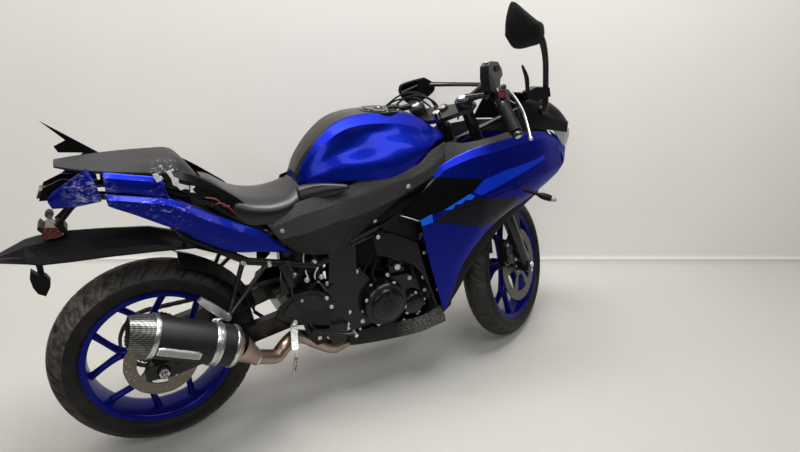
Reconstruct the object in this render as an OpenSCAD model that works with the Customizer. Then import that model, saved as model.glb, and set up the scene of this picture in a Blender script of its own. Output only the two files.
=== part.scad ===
// Middleweight twin-cylinder sport bike, parked on its side stand.
// Every sub-part is drawn on the upright bike: X forward with 0 at the rear axle,
// Y to the rider's left, Z up from the ground. The last step leans the whole bike
// onto its stand and puts the origin under the middle of its bounding box.

/* [Chassis] */
// Distance between the wheel axles
wheelbase = 1380; // [1340:1:1420]
// Rake of the steering axis from the vertical, degrees
caster = 25; // [23:0.1:27]
// Ground trail of the front wheel
trail = 95; // [85:1:105]
// Lean towards the side stand, degrees
lean = 7.84; // [5:0.01:10]
// Steering turned to the left, where it meets its stop, degrees
steer = 31.8; // [20:0.1:34]

/* [Rear wheel] */
// Radius of the rear tyre over its crown
rear_r = 312; // [306:1:318]
// Radius of the rear tyre's rounded crown, half its width
rear_crown = 70; // [62:1:74]
// Half width of the rear rim at its flanges
rear_rim_w = 56; // [48:1:58]
// Radius of the rear axle
rear_axle_r = 10; // [8:0.5:12]
// Radius of the rear brake disc
rear_disc_r = 110; // [100:1:115]

/* [Front wheel] */
// Radius of the front tyre over its crown
front_r = 296; // [290:1:300]
// Radius of the front tyre's rounded crown, half its width
front_crown = 55; // [50:1:58]
// Half width of the front rim at its flanges
front_rim_w = 41; // [36:1:44]
// Radius of the front axle
front_axle_r = 8; // [7:0.5:10]
// Radius of the front brake disc
front_disc_r = 149; // [130:1:152]
// Radius of a fork slider
slider_r = 24; // [21:0.5:26]
// Distance from the bike's centre plane to a fork leg
leg_y = 96; // [92:0.5:102]

/* [Body] */
// Height of the tank's top over the ground
tank_top = 1006; // [990:1:1015]
// Half width of the tank at its widest
tank_half = 152; // [140:1:160]
// Height of the rider's seat
seat_z = 782; // [770:1:790]
// Half width of the fairing over the radiator
fairing_half = 204; // [196:1:212]
// Wall of the fairing panels
panel_t = 3; // [2:0.5:4]
// Radius of the silencer's can
silencer_r = 62; // [55:1:66]
// Radius of the exhaust's link pipe
pipe_r = 24; // [20:1:27]

/* [Clearances] */
// Radial clearance of a running pin in its bore
pin_gap = 0.05; // [0.02:0.01:0.1]
// Gap between a seated piece and what carries it
seat_gap = 0.3; // [0.2:0.05:0.5]

/* [Hidden] */
$fn = 48;
// Radius of both rims at their bead seats
bead_r = 222;
rear_ring = rear_r - rear_crown;
front_ring = front_r - front_crown;
stem_r = 15;
U = [-sin(caster), 0, cos(caster)];
N = [cos(caster), 0, sin(caster)];
P0 = [wheelbase + trail, 0, 0];
rear_axle = [0, 0, rear_r];
front_axle = [wheelbase, 0, front_r];
pivot = [572, 0, 388];
stand_pivot = [548, 160, 268];
stand_pin_r = 7;
stand_foot_x = 612;
stand_foot_y = 292;
// Direction of the folded stand along the bike
stand_folded = [-0.985, 0.14, 0.1];
nose_bar_x = 1404;
nose_bar_z = 950;
nose_bar_r = 8;
// Middle of the parked bike's bounding box, which becomes the origin
origin_x = 620.39;
origin_y = 149.41;

// Turns point p about the line through c along unit vector u
function turned(p, c, u, a) =
    let (q = p - c)
    c + q * cos(a) + cross(u, q) * sin(a) + u * (u * q) * (1 - cos(a));
function steered_pt(p) = turned(p, P0, U, steer);
function leaned(v) = turned(v, [0, 0, 0], [1, 0, 0], -lean);
function pitched(v, a) = turned(v, [0, 0, 0], [0, 1, 0], a);
// Height of the lowest point of a tyre with its centre at c and its axle along n
function low(c, n, ring, crown) = c.z - ring * sqrt(1 - n.z * n.z) - crown;
rear_c = leaned(rear_axle);
rear_n = leaned([0, 1, 0]);
front_c = leaned(steered_pt(front_axle));
front_n = leaned(turned([0, 1, 0], [0, 0, 0], U, steer));
function dip(a) = low(pitched(front_c, a), pitched(front_n, a), front_ring, front_crown)
    - low(pitched(rear_c, a), pitched(rear_n, a), rear_ring, rear_crown);
function level(a, n) = n == 0 ? a : level(a + atan(dip(a) / wheelbase), n - 1);
pitch = level(0, 4);
drop = low(pitched(rear_c, pitch), pitched(rear_n, pitch), rear_ring, rear_crown);
// Height on the upright bike at which the floor lies at (x, y)
function floor_z(x, y) =
    let (row = [pitched(leaned([1, 0, 0]), pitch).z, pitched(leaned([0, 1, 0]), pitch).z,
        pitched(leaned([0, 0, 1]), pitch).z])
    (drop - row.x * x - row.y * y) / row.z;

stand_foot = [stand_foot_x, stand_foot_y, floor_z(stand_foot_x, stand_foot_y)];
stand_dir = (stand_foot - stand_pivot) / norm(stand_foot - stand_pivot);
stand_axis = cross(stand_dir, stand_folded) / norm(cross(stand_dir, stand_folded));

module park() {
    translate([-origin_x, -origin_y, -drop])
        rotate([0, pitch, 0])
            rotate([-lean, 0, 0])
                children();
}

module steered() {
    translate(P0)
        rotate(a = steer, v = U)
            translate(-P0)
                children();
}

// Both sides: the children as drawn on the right, and mirrored to the left
module both() {
    children();
    mirror([0, 1, 0]) children();
}

// Round bar from point a to point b
module rod(a, b, r, extra = 0) {
    d = b - a;
    len = norm(d);
    az = atan2(d.y, d.x);
    el = acos(d.z / len);
    translate(a)
        rotate([0, el, az])
            translate([0, 0, -extra])
                cylinder(h = len + 2 * extra, r = r);
}

// Straight cone from point a to point b
module cone(a, b, ra, rb) {
    d = b - a;
    translate(a)
        rotate([0, acos(d.z / norm(d)), atan2(d.y, d.x)])
            cylinder(h = norm(d), r1 = ra, r2 = rb);
}

// Square bar from point a to point b
module bar(a, b, w) {
    d = b - a;
    translate(a)
        rotate([0, acos(d.z / norm(d)), atan2(d.y, d.x)])
            translate([-w / 2, -w / 2, 0]) cube([w, w, norm(d)]);
}

// Flat plate from y0 to y1 with its outline in the X-Z plane
module plate(outline, y0, y1) {
    translate([0, max(y0, y1), 0])
        rotate([90, 0, 0])
            linear_extrude(height = abs(y1 - y0))
                polygon(outline);
}

// Cylinder along Y between y0 and y1
module across(x, z, r, y0, y1) {
    translate([x, min(y0, y1), z])
        rotate([-90, 0, 0])
            cylinder(h = abs(y1 - y0), r = r);
}

// Solid through rings of points, all with the same count, closed at both ends
module loft(rings) {
    m = len(rings);
    n = len(rings[0]);
    points = [for (ring = rings) each ring];
    sides = [for (i = [0 : m - 2], j = [0 : n - 1])
        let (k = (j + 1) % n)
        each [[i * n + j, (i + 1) * n + j, (i + 1) * n + k], [i * n + j, (i + 1) * n + k, i * n + k]]];
    first = [for (j = [1 : n - 2]) [0, j, j + 1]];
    last = [for (j = [1 : n - 2]) [(m - 1) * n, (m - 1) * n + j + 1, (m - 1) * n + j]];
    polyhedron(points = points, faces = concat(sides, first, last));
}

function unit(v) = v / norm(v);
// Ring of radius r about p, square to the direction t; side is any direction that t never takes
function ring(p, t, side, r, n = 20) =
    let (e = unit(cross(side, t)), g = cross(t, e))
    [for (k = [0 : n - 1]) p + (e * cos(360 * k / n) + g * sin(360 * k / n)) * r];

// Pipe with many bends through the points
module pipe(points, r, side) {
    last = len(points) - 1;
    step = [for (i = [0 : last - 1]) unit(points[i + 1] - points[i])];
    loft([for (i = [0 : last])
        ring(points[i], unit(step[max(i - 1, 0)] + step[min(i, last - 1)]), side, r)]);
}

// Panel between two grids of points of the same size; b lies behind a.
// On a right-hand panel the rows run downwards and the columns run forwards.
module skin(a, b) {
    m = len(a);
    n = len(a[0]);
    h = m * n;
    points = concat([for (row = a) each row], [for (row = b) each row]);
    function cell(o, i, j) = o + i * n + j;
    function quad(p, q, r, s) = [[p, q, r], [p, r, s]];
    front = [for (i = [0 : m - 2], j = [0 : n - 2])
        each quad(cell(0, i, j), cell(0, i, j + 1), cell(0, i + 1, j + 1), cell(0, i + 1, j))];
    back = [for (i = [0 : m - 2], j = [0 : n - 2])
        each quad(cell(h, i, j), cell(h, i + 1, j), cell(h, i + 1, j + 1), cell(h, i, j + 1))];
    top = [for (j = [0 : n - 2])
        each quad(cell(0, 0, j + 1), cell(0, 0, j), cell(h, 0, j), cell(h, 0, j + 1))];
    foot = [for (j = [0 : n - 2])
        each quad(cell(0, m - 1, j), cell(0, m - 1, j + 1), cell(h, m - 1, j + 1), cell(h, m - 1, j))];
    left = [for (i = [0 : m - 2])
        each quad(cell(0, i, 0), cell(0, i + 1, 0), cell(h, i + 1, 0), cell(h, i, 0))];
    right = [for (i = [0 : m - 2])
        each quad(cell(0, i + 1, n - 1), cell(0, i, n - 1), cell(h, i, n - 1), cell(h, i + 1, n - 1))];
    polyhedron(points = points, faces = concat(front, back, top, foot, left, right));
}

// The grid moved by v
function moved(g, v) = [for (row = g) [for (p = row) p + v]];

// Closed section at x: half width w, from z0 up to z1, its sides leaning in by taper at the top
function oval(x, w, z0, z1, taper = 0, e = 0.6, n = 20) =
    [for (i = [0 : n - 1])
        let (a = 360 * i / n, c = cos(a), s = sin(a))
        let (y = sign(c) * pow(abs(c), e), z = sign(s) * pow(abs(s), e))
        [x, w * y * (1 - taper * (1 + z) / 2), (z0 + z1) / 2 + (z1 - z0) / 2 * z]];

// A stay from the panel at a towards the tube from p to q, ending just clear of its wall
module stay(a, p, q, tube_r, r = 6) {
    along = (q - p) / norm(q - p);
    foot = p + along * ((a - p) * along);
    difference() {
        rod(a, foot, r);
        rod(p, q, tube_r + seat_gap, 30);
    }
}

// ---- Frame and engine ----

function on_axis(s) = P0 + U * s;
head_low = 842;
head_high = 1012;
main_r = 17;
upper_tube = [[1088, -20, 858], [960, -112, 800], [700, -127, 700], [600, -127, 618]];
lower_tube = [[1118, -20, 790], [985, -112, 700], [760, -127, 640], [622, -127, 600]];
plate_out = 134;
plate_in = 120;
pivot_r = 9;
mount = [625, 470];
mount_r = 8;
tank_rest = [760, 741];
tank_rest_r = 14;
shock_top = [556, 604];
shock_foot = [446, 430];
shock_pin_r = 6;

module frame() {
    color("#141416") park() {
        difference() {
            union() {
                rod(on_axis(head_low), on_axis(head_high), 32);
                both() {
                    pipe(upper_tube, main_r, [0, 1, 0]);
                    pipe(lower_tube, main_r, [0, 1, 0]);
                    plate([[545, 540], [545, 642], [612, 642], [640, 600], [640, 470], [612, 420],
                        [604, 330], [590, 236], [546, 236], [514, 300], [535, 360], [538, 450]],
                        -plate_out, -plate_in);
                }
            }
            rod(on_axis(head_low), on_axis(head_high), stem_r + pin_gap, 5);
        }
        across(pivot.x, pivot.z, pivot_r, -plate_in - 4, plate_in + 4);
        across(mount[0], mount[1], mount_r, -plate_in - 4, plate_in + 4);
        across(tank_rest[0], tank_rest[1], tank_rest_r, -114, 114);
        across(590, 560, 11, -plate_in - 4, plate_in + 4);
        difference() {
            plate([[545, 585], [590, 545], [610, 560], [590, 590], [556, 624]], -26, 26);
            across(shock_top[0], shock_top[1], 34, -18, 18);
        }
        across(shock_top[0], shock_top[1], shock_pin_r, -20, 20);
        // Pin that the side stand turns on, with its head
        rod(stand_pivot - stand_axis * 36, stand_pivot + stand_axis * 10, stand_pin_r);
        rod(stand_pivot + stand_axis * 9.6, stand_pivot + stand_axis * 13, stand_pin_r + 5);
        // Stay that carries the nose
        difference() {
            union() {
                rod(on_axis(935) + N * 20, [1404, 0, nose_bar_z], 12);
                across(nose_bar_x, nose_bar_z, nose_bar_r, -112, 112);
            }
            rod(on_axis(head_low), on_axis(head_high), 24, 5);
        }
    }
}

rail_r = 12;
upper_rail = [[544.7, -127, 622], [470, -112, 668], [300, -100, 698], [190, -86, 770], [60, -72, 842],
    [-110, -60, 868]];
lower_rail = [[544.7, -127, 560], [500, -121, 546], [290, -112, 603], [120, -90, 712], [44, -72, 836]];

module subframe() {
    color("#161618") park() {
        difference() {
            both() {
                pipe(upper_rail, rail_r, [0, 1, 0]);
                pipe(lower_rail, rail_r, [0, 1, 0]);
            }
            translate([544.7, -200, 480]) cube([60, 400, 200]);
        }
        for (p = [[300, 698, 100], [60, 842, 72], [-108, 868, 60]])
            across(p[0], p[1], 10, -p[2], p[2]);
    }
}

case_r = -118;
case_l = 70;
block_half = 105;
block = [[765, 425], [925, 385], [985, 600], [840, 650]];
sprocket = [645, 380];

module crankcase() {
    plate([[602, 300], [640, 228], [880, 228], [930, 270], [935, 360], [925, 430], [700, 440],
        [660, 500], [604, 500], [602, 420]], case_r, case_l);
    plate([[700, 268], [740, 252], [880, 252], [930, 290], [925, 420], [700, 430]], case_l - 2, 116);
}

module engine() {
    color("#1b1b1d") park() difference() {
        union() {
            crankcase();
            plate(block, -block_half, block_half);
            across(742, 352, 82, -160, case_r + 2);
            across(742, 352, 60, -168, -158);
            across(858, 318, 48, -146, case_r + 2);
            across(800, 340, 74, 114, 150);
            across(sprocket[0], sprocket[1], 35.6, case_l - 2, 90);
        }
        across(mount[0], mount[1], mount_r + pin_gap, -130, 130);
    }
}

radiator_low = [992, 452];
radiator_high = [1046, 676];

module radiator() {
    color("#202226") park() {
        plate([radiator_low, [1024, 445], [1078, 669], radiator_high], -150, 150);
        both() difference() {
            rod([1058, -84, 672], [1062, -84, 740], 8);
            rod(lower_tube[0], lower_tube[1], main_r + seat_gap, 10);
            rod(lower_tube[0] + [0, 0, 20], lower_tube[1] + [0, 0, 20], main_r + seat_gap, 10);
        }
    }
}

// Route of the exhaust from the joined header pipes to the silencer
link = [[880, 0, 205], [740, 0, 203], [640, -62, 206], [560, -96, 207], [500, -103, 244],
    [447, -114, 288], [400, -140, 312], [362, -172, 310], [328, -184, 291], [262, -204, 322]];
can_front = [208, -222, 386];
can_rear = [-64, -232, 516];
can_dir = (can_front - can_rear) / norm(can_front - can_rear);
cone_dir = (can_front - link[9]) / norm(can_front - link[9]);
hanger = [204, -150, 452];
hanger_end = [199, -166, 460];
hanger_r = 13;
pillion_peg_tip = [124, -194, 552];
pillion_peg_r = 11;

module exhaust_pipe() {
    color("#7a5f4c") park() difference() {
        union() {
            both() pipe([[930, -45, 470], [962, -46, 456], [978, -46, 424], [978, -46, 330], [965, -44, 272],
                [935, -34, 228], [880, -10, 206]], 17, [0, 1, 0]);
            rod([902, 0, 207], [850, 0, 204], 31);
            pipe(link, pipe_r, [0, 1, 0]);
            cone(link[len(link) - 1] - cone_dir * 10, can_front, pipe_r + 2, silencer_r - 16);
        }
        plate(block, -block_half, block_half);
        crankcase();
        rod(can_front + can_dir * 20, can_rear, silencer_r + seat_gap);
    }
}

module silencer() {
    color("#2b2b2e") park() difference() {
        union() {
            rod(can_front, can_rear + can_dir * 40, silencer_r);
            rod(can_front + can_dir * 20, can_front - can_dir * 5, silencer_r - 14);
            rod(can_rear + can_dir * 45, can_rear, silencer_r - 8);
            // Strap with its ear
            rod(can_front - can_dir * 22, can_front - can_dir * 46, silencer_r + 3);
            rod(can_front - can_dir * 34, hanger_end, 9);
        }
        rod(can_rear + can_dir * 60, can_rear, 24, 20);
        rod(hanger, hanger_end, hanger_r + seat_gap, 6);
        rod(hanger_end, pillion_peg_tip, pillion_peg_r + seat_gap, 3);
    }
}

arm_out = 130;
arm_in = 98;

// Threaded holes for paddock stand spools
spool = [70, 0, 326];
spool_r = 4;
spool_depth = 20;

module arm_plate() {
    plate([[-48, 290], [-48, 334], [20, 344], [400, 408], [494, 412], [494, 360], [400, 346],
        [20, 284]], -arm_out, -arm_in);
}

module swingarm() {
    color("#111113") park() difference() {
        union() {
            both() {
                arm_plate();
                plate([[400, 350], [400, 408], [560, 410], [572, 400], [560, 366]], -arm_in - 2, -66);
                plate([[436, 405], [470, 405], [456, 442], [438, 442]], -26, -18);
            }
            plate([[392, 350], [392, 404], [470, 408], [470, 358]], -arm_in - 2, arm_in + 2);
            across(pivot.x, pivot.z, 24, -116, 116);
            across(0, rear_r, rear_axle_r, -154, 154);
            across(0, rear_r, 19, -146, -arm_out + 1);
            across(shock_foot[0], shock_foot[1], shock_pin_r, -20, 20);
        }
        across(pivot.x, pivot.z, pivot_r + pin_gap, -140, 140);
        both() across(spool.x, spool.z, spool_r, -arm_out - 1, -arm_out + spool_depth);
    }
}

module rear_shock() {
    a = [shock_foot[0], 0, shock_foot[1]];
    b = [shock_top[0], 0, shock_top[1]];
    d = (b - a) / norm(b - a);
    color("#1d1d20") park() difference() {
        union() {
            across(a.x, a.z, 14, -17, 17);
            across(b.x, b.z, 14, -17, 17);
            rod(a + d * 8, b - d * 8, 9);
            rod(a + d * 34, b - d * 44, 30);
        }
        across(a.x, a.z, shock_pin_r + pin_gap, -30, 30);
        across(b.x, b.z, shock_pin_r + pin_gap, -30, 30);
    }
}

chain_y = 83;

module drive_chain() {
    color("#3a3935") park()
        translate([0, chain_y + 7, 0]) rotate([90, 0, 0]) linear_extrude(height = 14) difference() {
            hull() {
                translate([0, rear_r]) circle(r = 112);
                translate(sprocket) circle(r = 48);
            }
            hull() {
                translate([0, rear_r]) circle(r = 100);
                translate(sprocket) circle(r = 36);
            }
        }
}

module rear_caliper() {
    color("#19191b") park() difference() {
        union() {
            plate([[-24, 300], [-16, 290], [16, 290], [24, 300], [40, 400], [-34, 400]], -96, -89);
            plate([[-42, 372], [46, 372], [40, 440], [-36, 440]], -112, -60);
        }
        across(0, rear_r, rear_axle_r + pin_gap, -130, 130);
        across(0, rear_r, rear_disc_r + 6, -88.8, -73.6);
    }
}

// ---- Tail ----

guard_half = 74;
// Centre line of the mudguard: x, height on top, height of its edges, half width
guard = [[206, 640, 632, 60], [150, 682, 662, 66], [38, 728, 678, guard_half], [-80, 746, 688, guard_half],
    [-180, 758, 694, guard_half], [-250, 756, 700, guard_half], [-282, 750, 708, 68],
    [-345, 722, 712, 36], [-405, 694, 690, 8]];

module rear_mudguard() {
    outer = [for (t = [1, 0.86, 0.5, 0, -0.5, -0.86, -1])
        [for (g = [for (k = [len(guard) - 1 : -1 : 0]) guard[k]])
            [g[0], g[3] * t, g[1] - (g[1] - g[2]) * pow(abs(t), 2.4)]]];
    color("#1a1a1b") park() {
        skin(outer, moved(outer, [0, 0, -4]));
        both() difference() {
            rod([128, -58, 688], [128, -92, 708], 6);
            rod(lower_rail[3], lower_rail[2], rail_r + seat_gap, 10);
        }
    }
}

module rear_hugger() {
    r = rear_r + 24;
    outer = [for (t = [1, 0.6, 0, -0.6, -1])
        [for (a = [72 : -8 : 16])
            [r * cos(a) - 20 * abs(t) * cos(a), 68 * t, rear_r + r * sin(a) - 20 * abs(t) * sin(a)]]];
    color("#161617") park() {
        skin(outer, [for (row = outer) [for (p = row) p - [2.4, 0, 2.4]]]);
        both() difference() {
            rod([303, -62, 398], [330, -108, 386], 6);
            arm_plate();
        }
    }
}

module plate_bracket() {
    color("#18181a") park() {
        // Bent struts from the tail down to the lamp housing
        difference() {
            both() rod([-96, -40, 858], [-196, -30, 786], 7);
            across(-108, 868, 10 + seat_gap, -80, 80);
            both() rod(upper_rail[4], upper_rail[5], rail_r + seat_gap, 20);
        }
        plate([[-236, 790], [-222, 796], [-190, 790], [-178, 762], [-196, 757.8], [-232, 756.9]], -60, 20);
        // Hanging tab with the loose indicator
        plate([[-264, 743], [-248, 745], [-252, 640], [-266, 640]], -20, -14);
        plate([[-284, 660], [-252, 640], [-244, 606], [-262, 580], [-286, 610]], -14, 8);
    }
}

module fuel_tank() {
    z = tank_top;
    w = tank_half;
    color("#1a2f9e") park() cap_hinge();
    color("#1a2f9e") park() difference() {
        loft([
            oval(488, 56, 800, 850, 0.1),
            oval(510, 80, 790, 892, 0.25),
            oval(560, 104, 766, z - 66, 0.35),
            oval(620, 118, 760, z - 18, 0.4),
            oval(690, w - 20, 758, z - 2, 0.42),
            oval(770, w - 2, 757, z, 0.42),
            oval(850, w, 757, z - 8, 0.42),
            oval(920, w - 10, 812, z - 34, 0.4),
            oval(975, w - 52, 842, z - 74, 0.38),
            oval(1016, w - 96, 862, z - 102, 0.3)]);
        across(tank_rest[0], tank_rest[1], tank_rest_r + seat_gap, -160, 160);
        rod([700, -127, 700], [960, -112, 800], main_r + seat_gap, 20);
        rod([700, 127, 700], [960, 112, 800], main_r + seat_gap, 20);
        cap_cut();
    }
}

// Foot of the fuel cap's recess
cap = [802, 0, tank_top - 11.5];
cap_tilt = 4;
cap_r = 52;
cap_t = 12;
// Hinge of the cap, seen from the middle of its recess
hinge_x = 60;
hinge_z = 15.3;
hinge_pin_r = 2.5;

module at_cap() {
    translate(cap)
        rotate([0, cap_tilt, 0])
            children();
}

module cap_cut() {
    at_cap() cylinder(h = 60, r = cap_r + 5);
}

module cap_hinge() {
    at_cap() {
        both() plate([[57.5, -2], [55.5, hinge_z], [hinge_x, hinge_z + 5], [64.5, hinge_z], [66, -2]], 9.3, 14);
        across(hinge_x, hinge_z, hinge_pin_r, -13, 13);
    }
}

module fuel_cap() {
    color("#26262a") park() at_cap() difference() {
        union() {
            translate([0, 0, seat_gap]) cylinder(h = cap_t, r = cap_r);
            plate([[30, 10], [30, 15], [hinge_x, hinge_z + 4.5], [64, hinge_z], [61, 12.6], [48, 10]], -8, 8);
        }
        across(hinge_x, hinge_z, hinge_pin_r + pin_gap, -20, 20);
    }
}

module rider_seat() {
    z = seat_z;
    color("#1c1c1e") park() loft([
        oval(206, 62, 742, z + 72, 0.1),
        oval(246, 98, 738, z + 44, 0.12),
        oval(288, 114, 708.4, z + 24, 0.14),
        oval(326, 120, 708.4, z + 9, 0.15),
        oval(380, 124, 712, z, 0.16),
        oval(440, 116, 720, z + 2, 0.2),
        oval(486, 98, 738, z + 2, 0.25)]);
}

module pillion_seat() {
    color("#2a2a2c") park() {
        loft([
            oval(-166, 26, 940, 956, 0.1),
            oval(-140, 60, 922, 956, 0.15),
            oval(-60, 84, 898, 948, 0.18),
            oval(40, 94, 884, 938, 0.2),
            oval(120, 92, 874, 928, 0.25),
            oval(168, 74, 872, 898, 0.25),
            oval(188, 46, 870, 882, 0.25)]);
        difference() {
            translate([60, 0, 846]) cylinder(h = 50, r = 16);
            across(60, 842, 10 + seat_gap, -50, 50);
        }
    }
}

// Right-hand side panel of the tail, rear to front
tail_grid = [
    [[-70, -104, 914], [-20, -110, 912], [70, -112, 886], [120, -116, 838], [230, -122, 760], [320, -128, 700], [424, -132, 622]],
    [[-72, -112, 890], [-20, -118, 882], [80, -126, 846], [130, -129, 806], [230, -134, 722], [320, -136, 668], [426, -137, 615]],
    [[-68, -106, 852], [-20, -110, 826], [60, -116, 772], [130, -122, 712], [200, -126, 662], [310, -130, 632], [424, -133, 610]]];
// Corner piece of the tail, rear to front
end_grid = [
    [[-190, -52, 884], [-150, -76, 915], [-94, -98, 944]],
    [[-196, -60, 868], [-146, -90, 886], [-78, -112, 898]],
    [[-188, -56, 846], [-140, -82, 852], [-78, -106, 858]]];

module tail_side() {
    skin(tail_grid, moved(tail_grid, [0, panel_t, 0]));
    stay([100, -122, 820], upper_rail[3], upper_rail[4], rail_r);
    stay([330, -132, 664], upper_rail[2], upper_rail[1], rail_r);
}

module tail_end() {
    skin(end_grid, moved(end_grid, [0, panel_t, 0]));
    stay([-100, -98, 880], upper_rail[4], upper_rail[5], rail_r);
}

module tail_panels() {
    color("#1c2bb0") park() {
        tail_side();
        mirror([0, 1, 0]) tail_side();
        tail_end();
        mirror([0, 1, 0]) tail_end();
    }
}

module tail_lamp() {
    color("#7c1016") park() {
        plate([[-226, 868], [-214, 892], [-160, 910], [-118, 902], [-150, 860]], -30, 30);
        difference() {
            plate([[-150, 860], [-118, 902], [-96, 888], [-96, 850]], -24, 24);
            across(-108, 868, 10 + seat_gap, -80, 80);
        }
    }
}

module grab_rail() {
    color("#141415") park() {
        plate([[-186, 1052], [-46, 938], [-50, 912], [-60, 905], [-84, 912], [-94, 951], [-158, 960],
            [-166, 978], [-134, 992]], 87, 93);
        mirror([0, 1, 0]) stay([-56, -90, 912], upper_rail[4], upper_rail[5], rail_r);
    }
}

// Textured cover over the frame, rear to front, right-hand side
cover_grid = [
    [[372, -122, 706], [456, -126, 748], [590, -128, 786], [700, -146, 800], [790, -158, 800], [880, -160, 842], [962, -140, 888]],
    [[376, -130, 672], [470, -138, 680], [590, -146, 700], [700, -154, 720], [800, -162, 730], [890, -166, 770], [985, -160, 838]],
    [[426, -134, 625], [470, -142, 600], [560, -148, 590], [612, -148, 602], [702, -150, 642], [840, -158, 716], [960, -162, 800]]];

module cover_side() {
    skin(cover_grid, moved(cover_grid, [0, panel_t, 0]));
    stay([640, -150, 690], upper_tube[2], upper_tube[3], main_r);
}

module side_covers() {
    color("#2a2a2b") park() {
        cover_side();
        mirror([0, 1, 0]) cover_side();
    }
}

// ---- Fairing ----

f = fairing_half;
// Upper panel of the right-hand fairing, rear to front
upper_grid = [
    [[876, -f + 36, 800], [960, -f + 32, 842], [1077, -f + 26, 868], [1158, -f + 28, 872], [1277, -f + 44, 884],
        [1372, -f + 69, 896], [1450, -f + 104, 878]],
    [[862, -f + 16, 726], [950, -f + 14, 752], [1077, -f + 8, 776], [1158, -f + 10, 786], [1280, -f + 24, 800],
        [1395, -f + 54, 812], [1504, -f + 100, 806]],
    [[850, -f + 2, 662], [950, -f + 2, 676], [1077, -f, 692], [1158, -f + 2, 704], [1290, -f + 24, 716],
        [1420, -f + 58, 726], [1532, -f + 104, 730]]];
// Lower panel of the right-hand fairing, rear to front
lower_grid = [
    [[850.5, -f + 2, 661], [950, -f + 2, 675], [1077, -f, 691], [1158, -f + 2, 703], [1290, -f + 24, 715],
        [1420, -f + 58, 725], [1532, -f + 104, 729]],
    [[900, -f, 510], [950, -f, 540], [1040, -f, 585], [1126, -f + 4, 615], [1262, -f + 26, 655],
        [1396, -f + 62, 685], [1516, -f + 108, 700]],
    [[912, -f + 2, 400], [944, -f + 2, 420], [1014, -f + 2, 500], [1080, -f + 8, 552], [1220, -f + 30, 612],
        [1350, -f + 66, 640], [1470, -f + 112, 664]],
    [[936, -f + 10, 292], [946, -f + 10, 284], [990, -f + 12, 368], [1034, -f + 14, 470], [1180, -f + 40, 588],
        [1310, -f + 74, 616], [1440, -f + 116, 642]]];

module fairing() {
    color("#1b2a9c") {
        skin(upper_grid, moved(upper_grid, [0, panel_t, 0]));
        skin(lower_grid, moved(lower_grid, [0, panel_t, 0]));
    }
    stay([940, -f + 5, 690], lower_tube[1], lower_tube[2], main_r, 7);
    stay([1060, -f + 18, 812], upper_tube[0], upper_tube[1], main_r, 7);
}

module right_fairing() {
    color("#1b2a9c") park() fairing();
}

module left_fairing() {
    color("#1b2a9c") park() mirror([0, 1, 0]) fairing();
}

belly_grid = [
    [[606, -122, 244], [660, -128, 262], [760, -136, 262], [880, -150, 262], [960, -168, 270]],
    [[606, -120, 210], [660, -122, 204], [760, -128, 196], [880, -136, 194], [984, -150, 222]],
    [[690, -72, 178], [720, -76, 174], [790, -80, 170], [880, -90, 168], [976, -96, 196]],
    [[730, 0, 168], [750, 0, 166], [800, 0, 163], [880, 0, 162], [968, 0, 186]]];

module belly_pan() {
    color("#131314") park() {
        skin(belly_grid, moved(belly_grid, [0, 0, panel_t]));
        mirror([0, 1, 0]) skin(belly_grid, moved(belly_grid, [0, 0, panel_t]));
        both() difference() {
            rod([800, -138.5, 240], [800, -100, 240], 6);
            crankcase();
            mirror([0, 1, 0]) crankcase();
        }
    }
}

nose_grid = [
    [[1456.6, -97, 876], [1504, -93, 846], [1548, -80, 804], [1582, -58, 784], [1592, 0, 780]],
    [[1509.6, -100, 804], [1532, -92, 790], [1556, -80, 775], [1588, -50, 765], [1598, 0, 762]],
    [[1537.6, -96, 729], [1552, -86, 727], [1568, -66, 722], [1590, -36, 716], [1598, 0, 712]],
    [[1448.6, -84, 643], [1464, -72, 648], [1480, -54, 652], [1500, -28, 657], [1508, 0, 660]]];

module nose_cowl() {
    color("#15195a") park() {
        skin(nose_grid, moved(nose_grid, [-panel_t, 0, 0]));
        mirror([0, 1, 0]) skin(nose_grid, moved(nose_grid, [-panel_t, 0, 0]));
        plate([[1560, 870], [1590, 866], [1588, 783], [1570, 783]], -50, 50);
    }
}

lamp_grid = [
    [[1482, -94, 880], [1540, -84, 874], [1590, -64, 860]],
    [[1504, -92, 849], [1552, -80, 838], [1590, -64, 826]],
    [[1548, -79.5, 805], [1565, -70.5, 795], [1581, -59.5, 785.5]]];

module headlamps() {
    color("#9a9a94") park() {
        skin(lamp_grid, moved(lamp_grid, [-6, 6, 0]));
        mirror([0, 1, 0]) skin(lamp_grid, moved(lamp_grid, [-6, 6, 0]));
    }
}

dash_grid = [
    [[1330, -104, 994], [1400, -102, 972], [1480, -98, 930], [1560, -86, 888]],
    [[1372, -78, 1000], [1430, -78, 988], [1520, -74, 940], [1584, -60, 884]],
    [[1400, 0, 1004], [1460, 0, 998], [1548, 0, 946], [1600, 0, 878]]];

module dash_cowl() {
    under = moved(dash_grid, [-panel_t, 0, -panel_t]);
    color("#0c0c0d") park() {
        skin(under, dash_grid);
        mirror([0, 1, 0]) skin(under, dash_grid);
        // Instrument panel
        plate([[1330, 960], [1352, 992], [1364, 986], [1344, 952]], -72, 72);
        both() {
            stay([1404, -60, 994], [nose_bar_x, -112, nose_bar_z], [nose_bar_x, 112, nose_bar_z], nose_bar_r);
            difference() {
                rod([1350, -40, 965], [nose_bar_x, -40, nose_bar_z], 6);
                across(nose_bar_x, nose_bar_z, nose_bar_r + seat_gap, -112, 112);
            }
        }
    }
}

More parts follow.
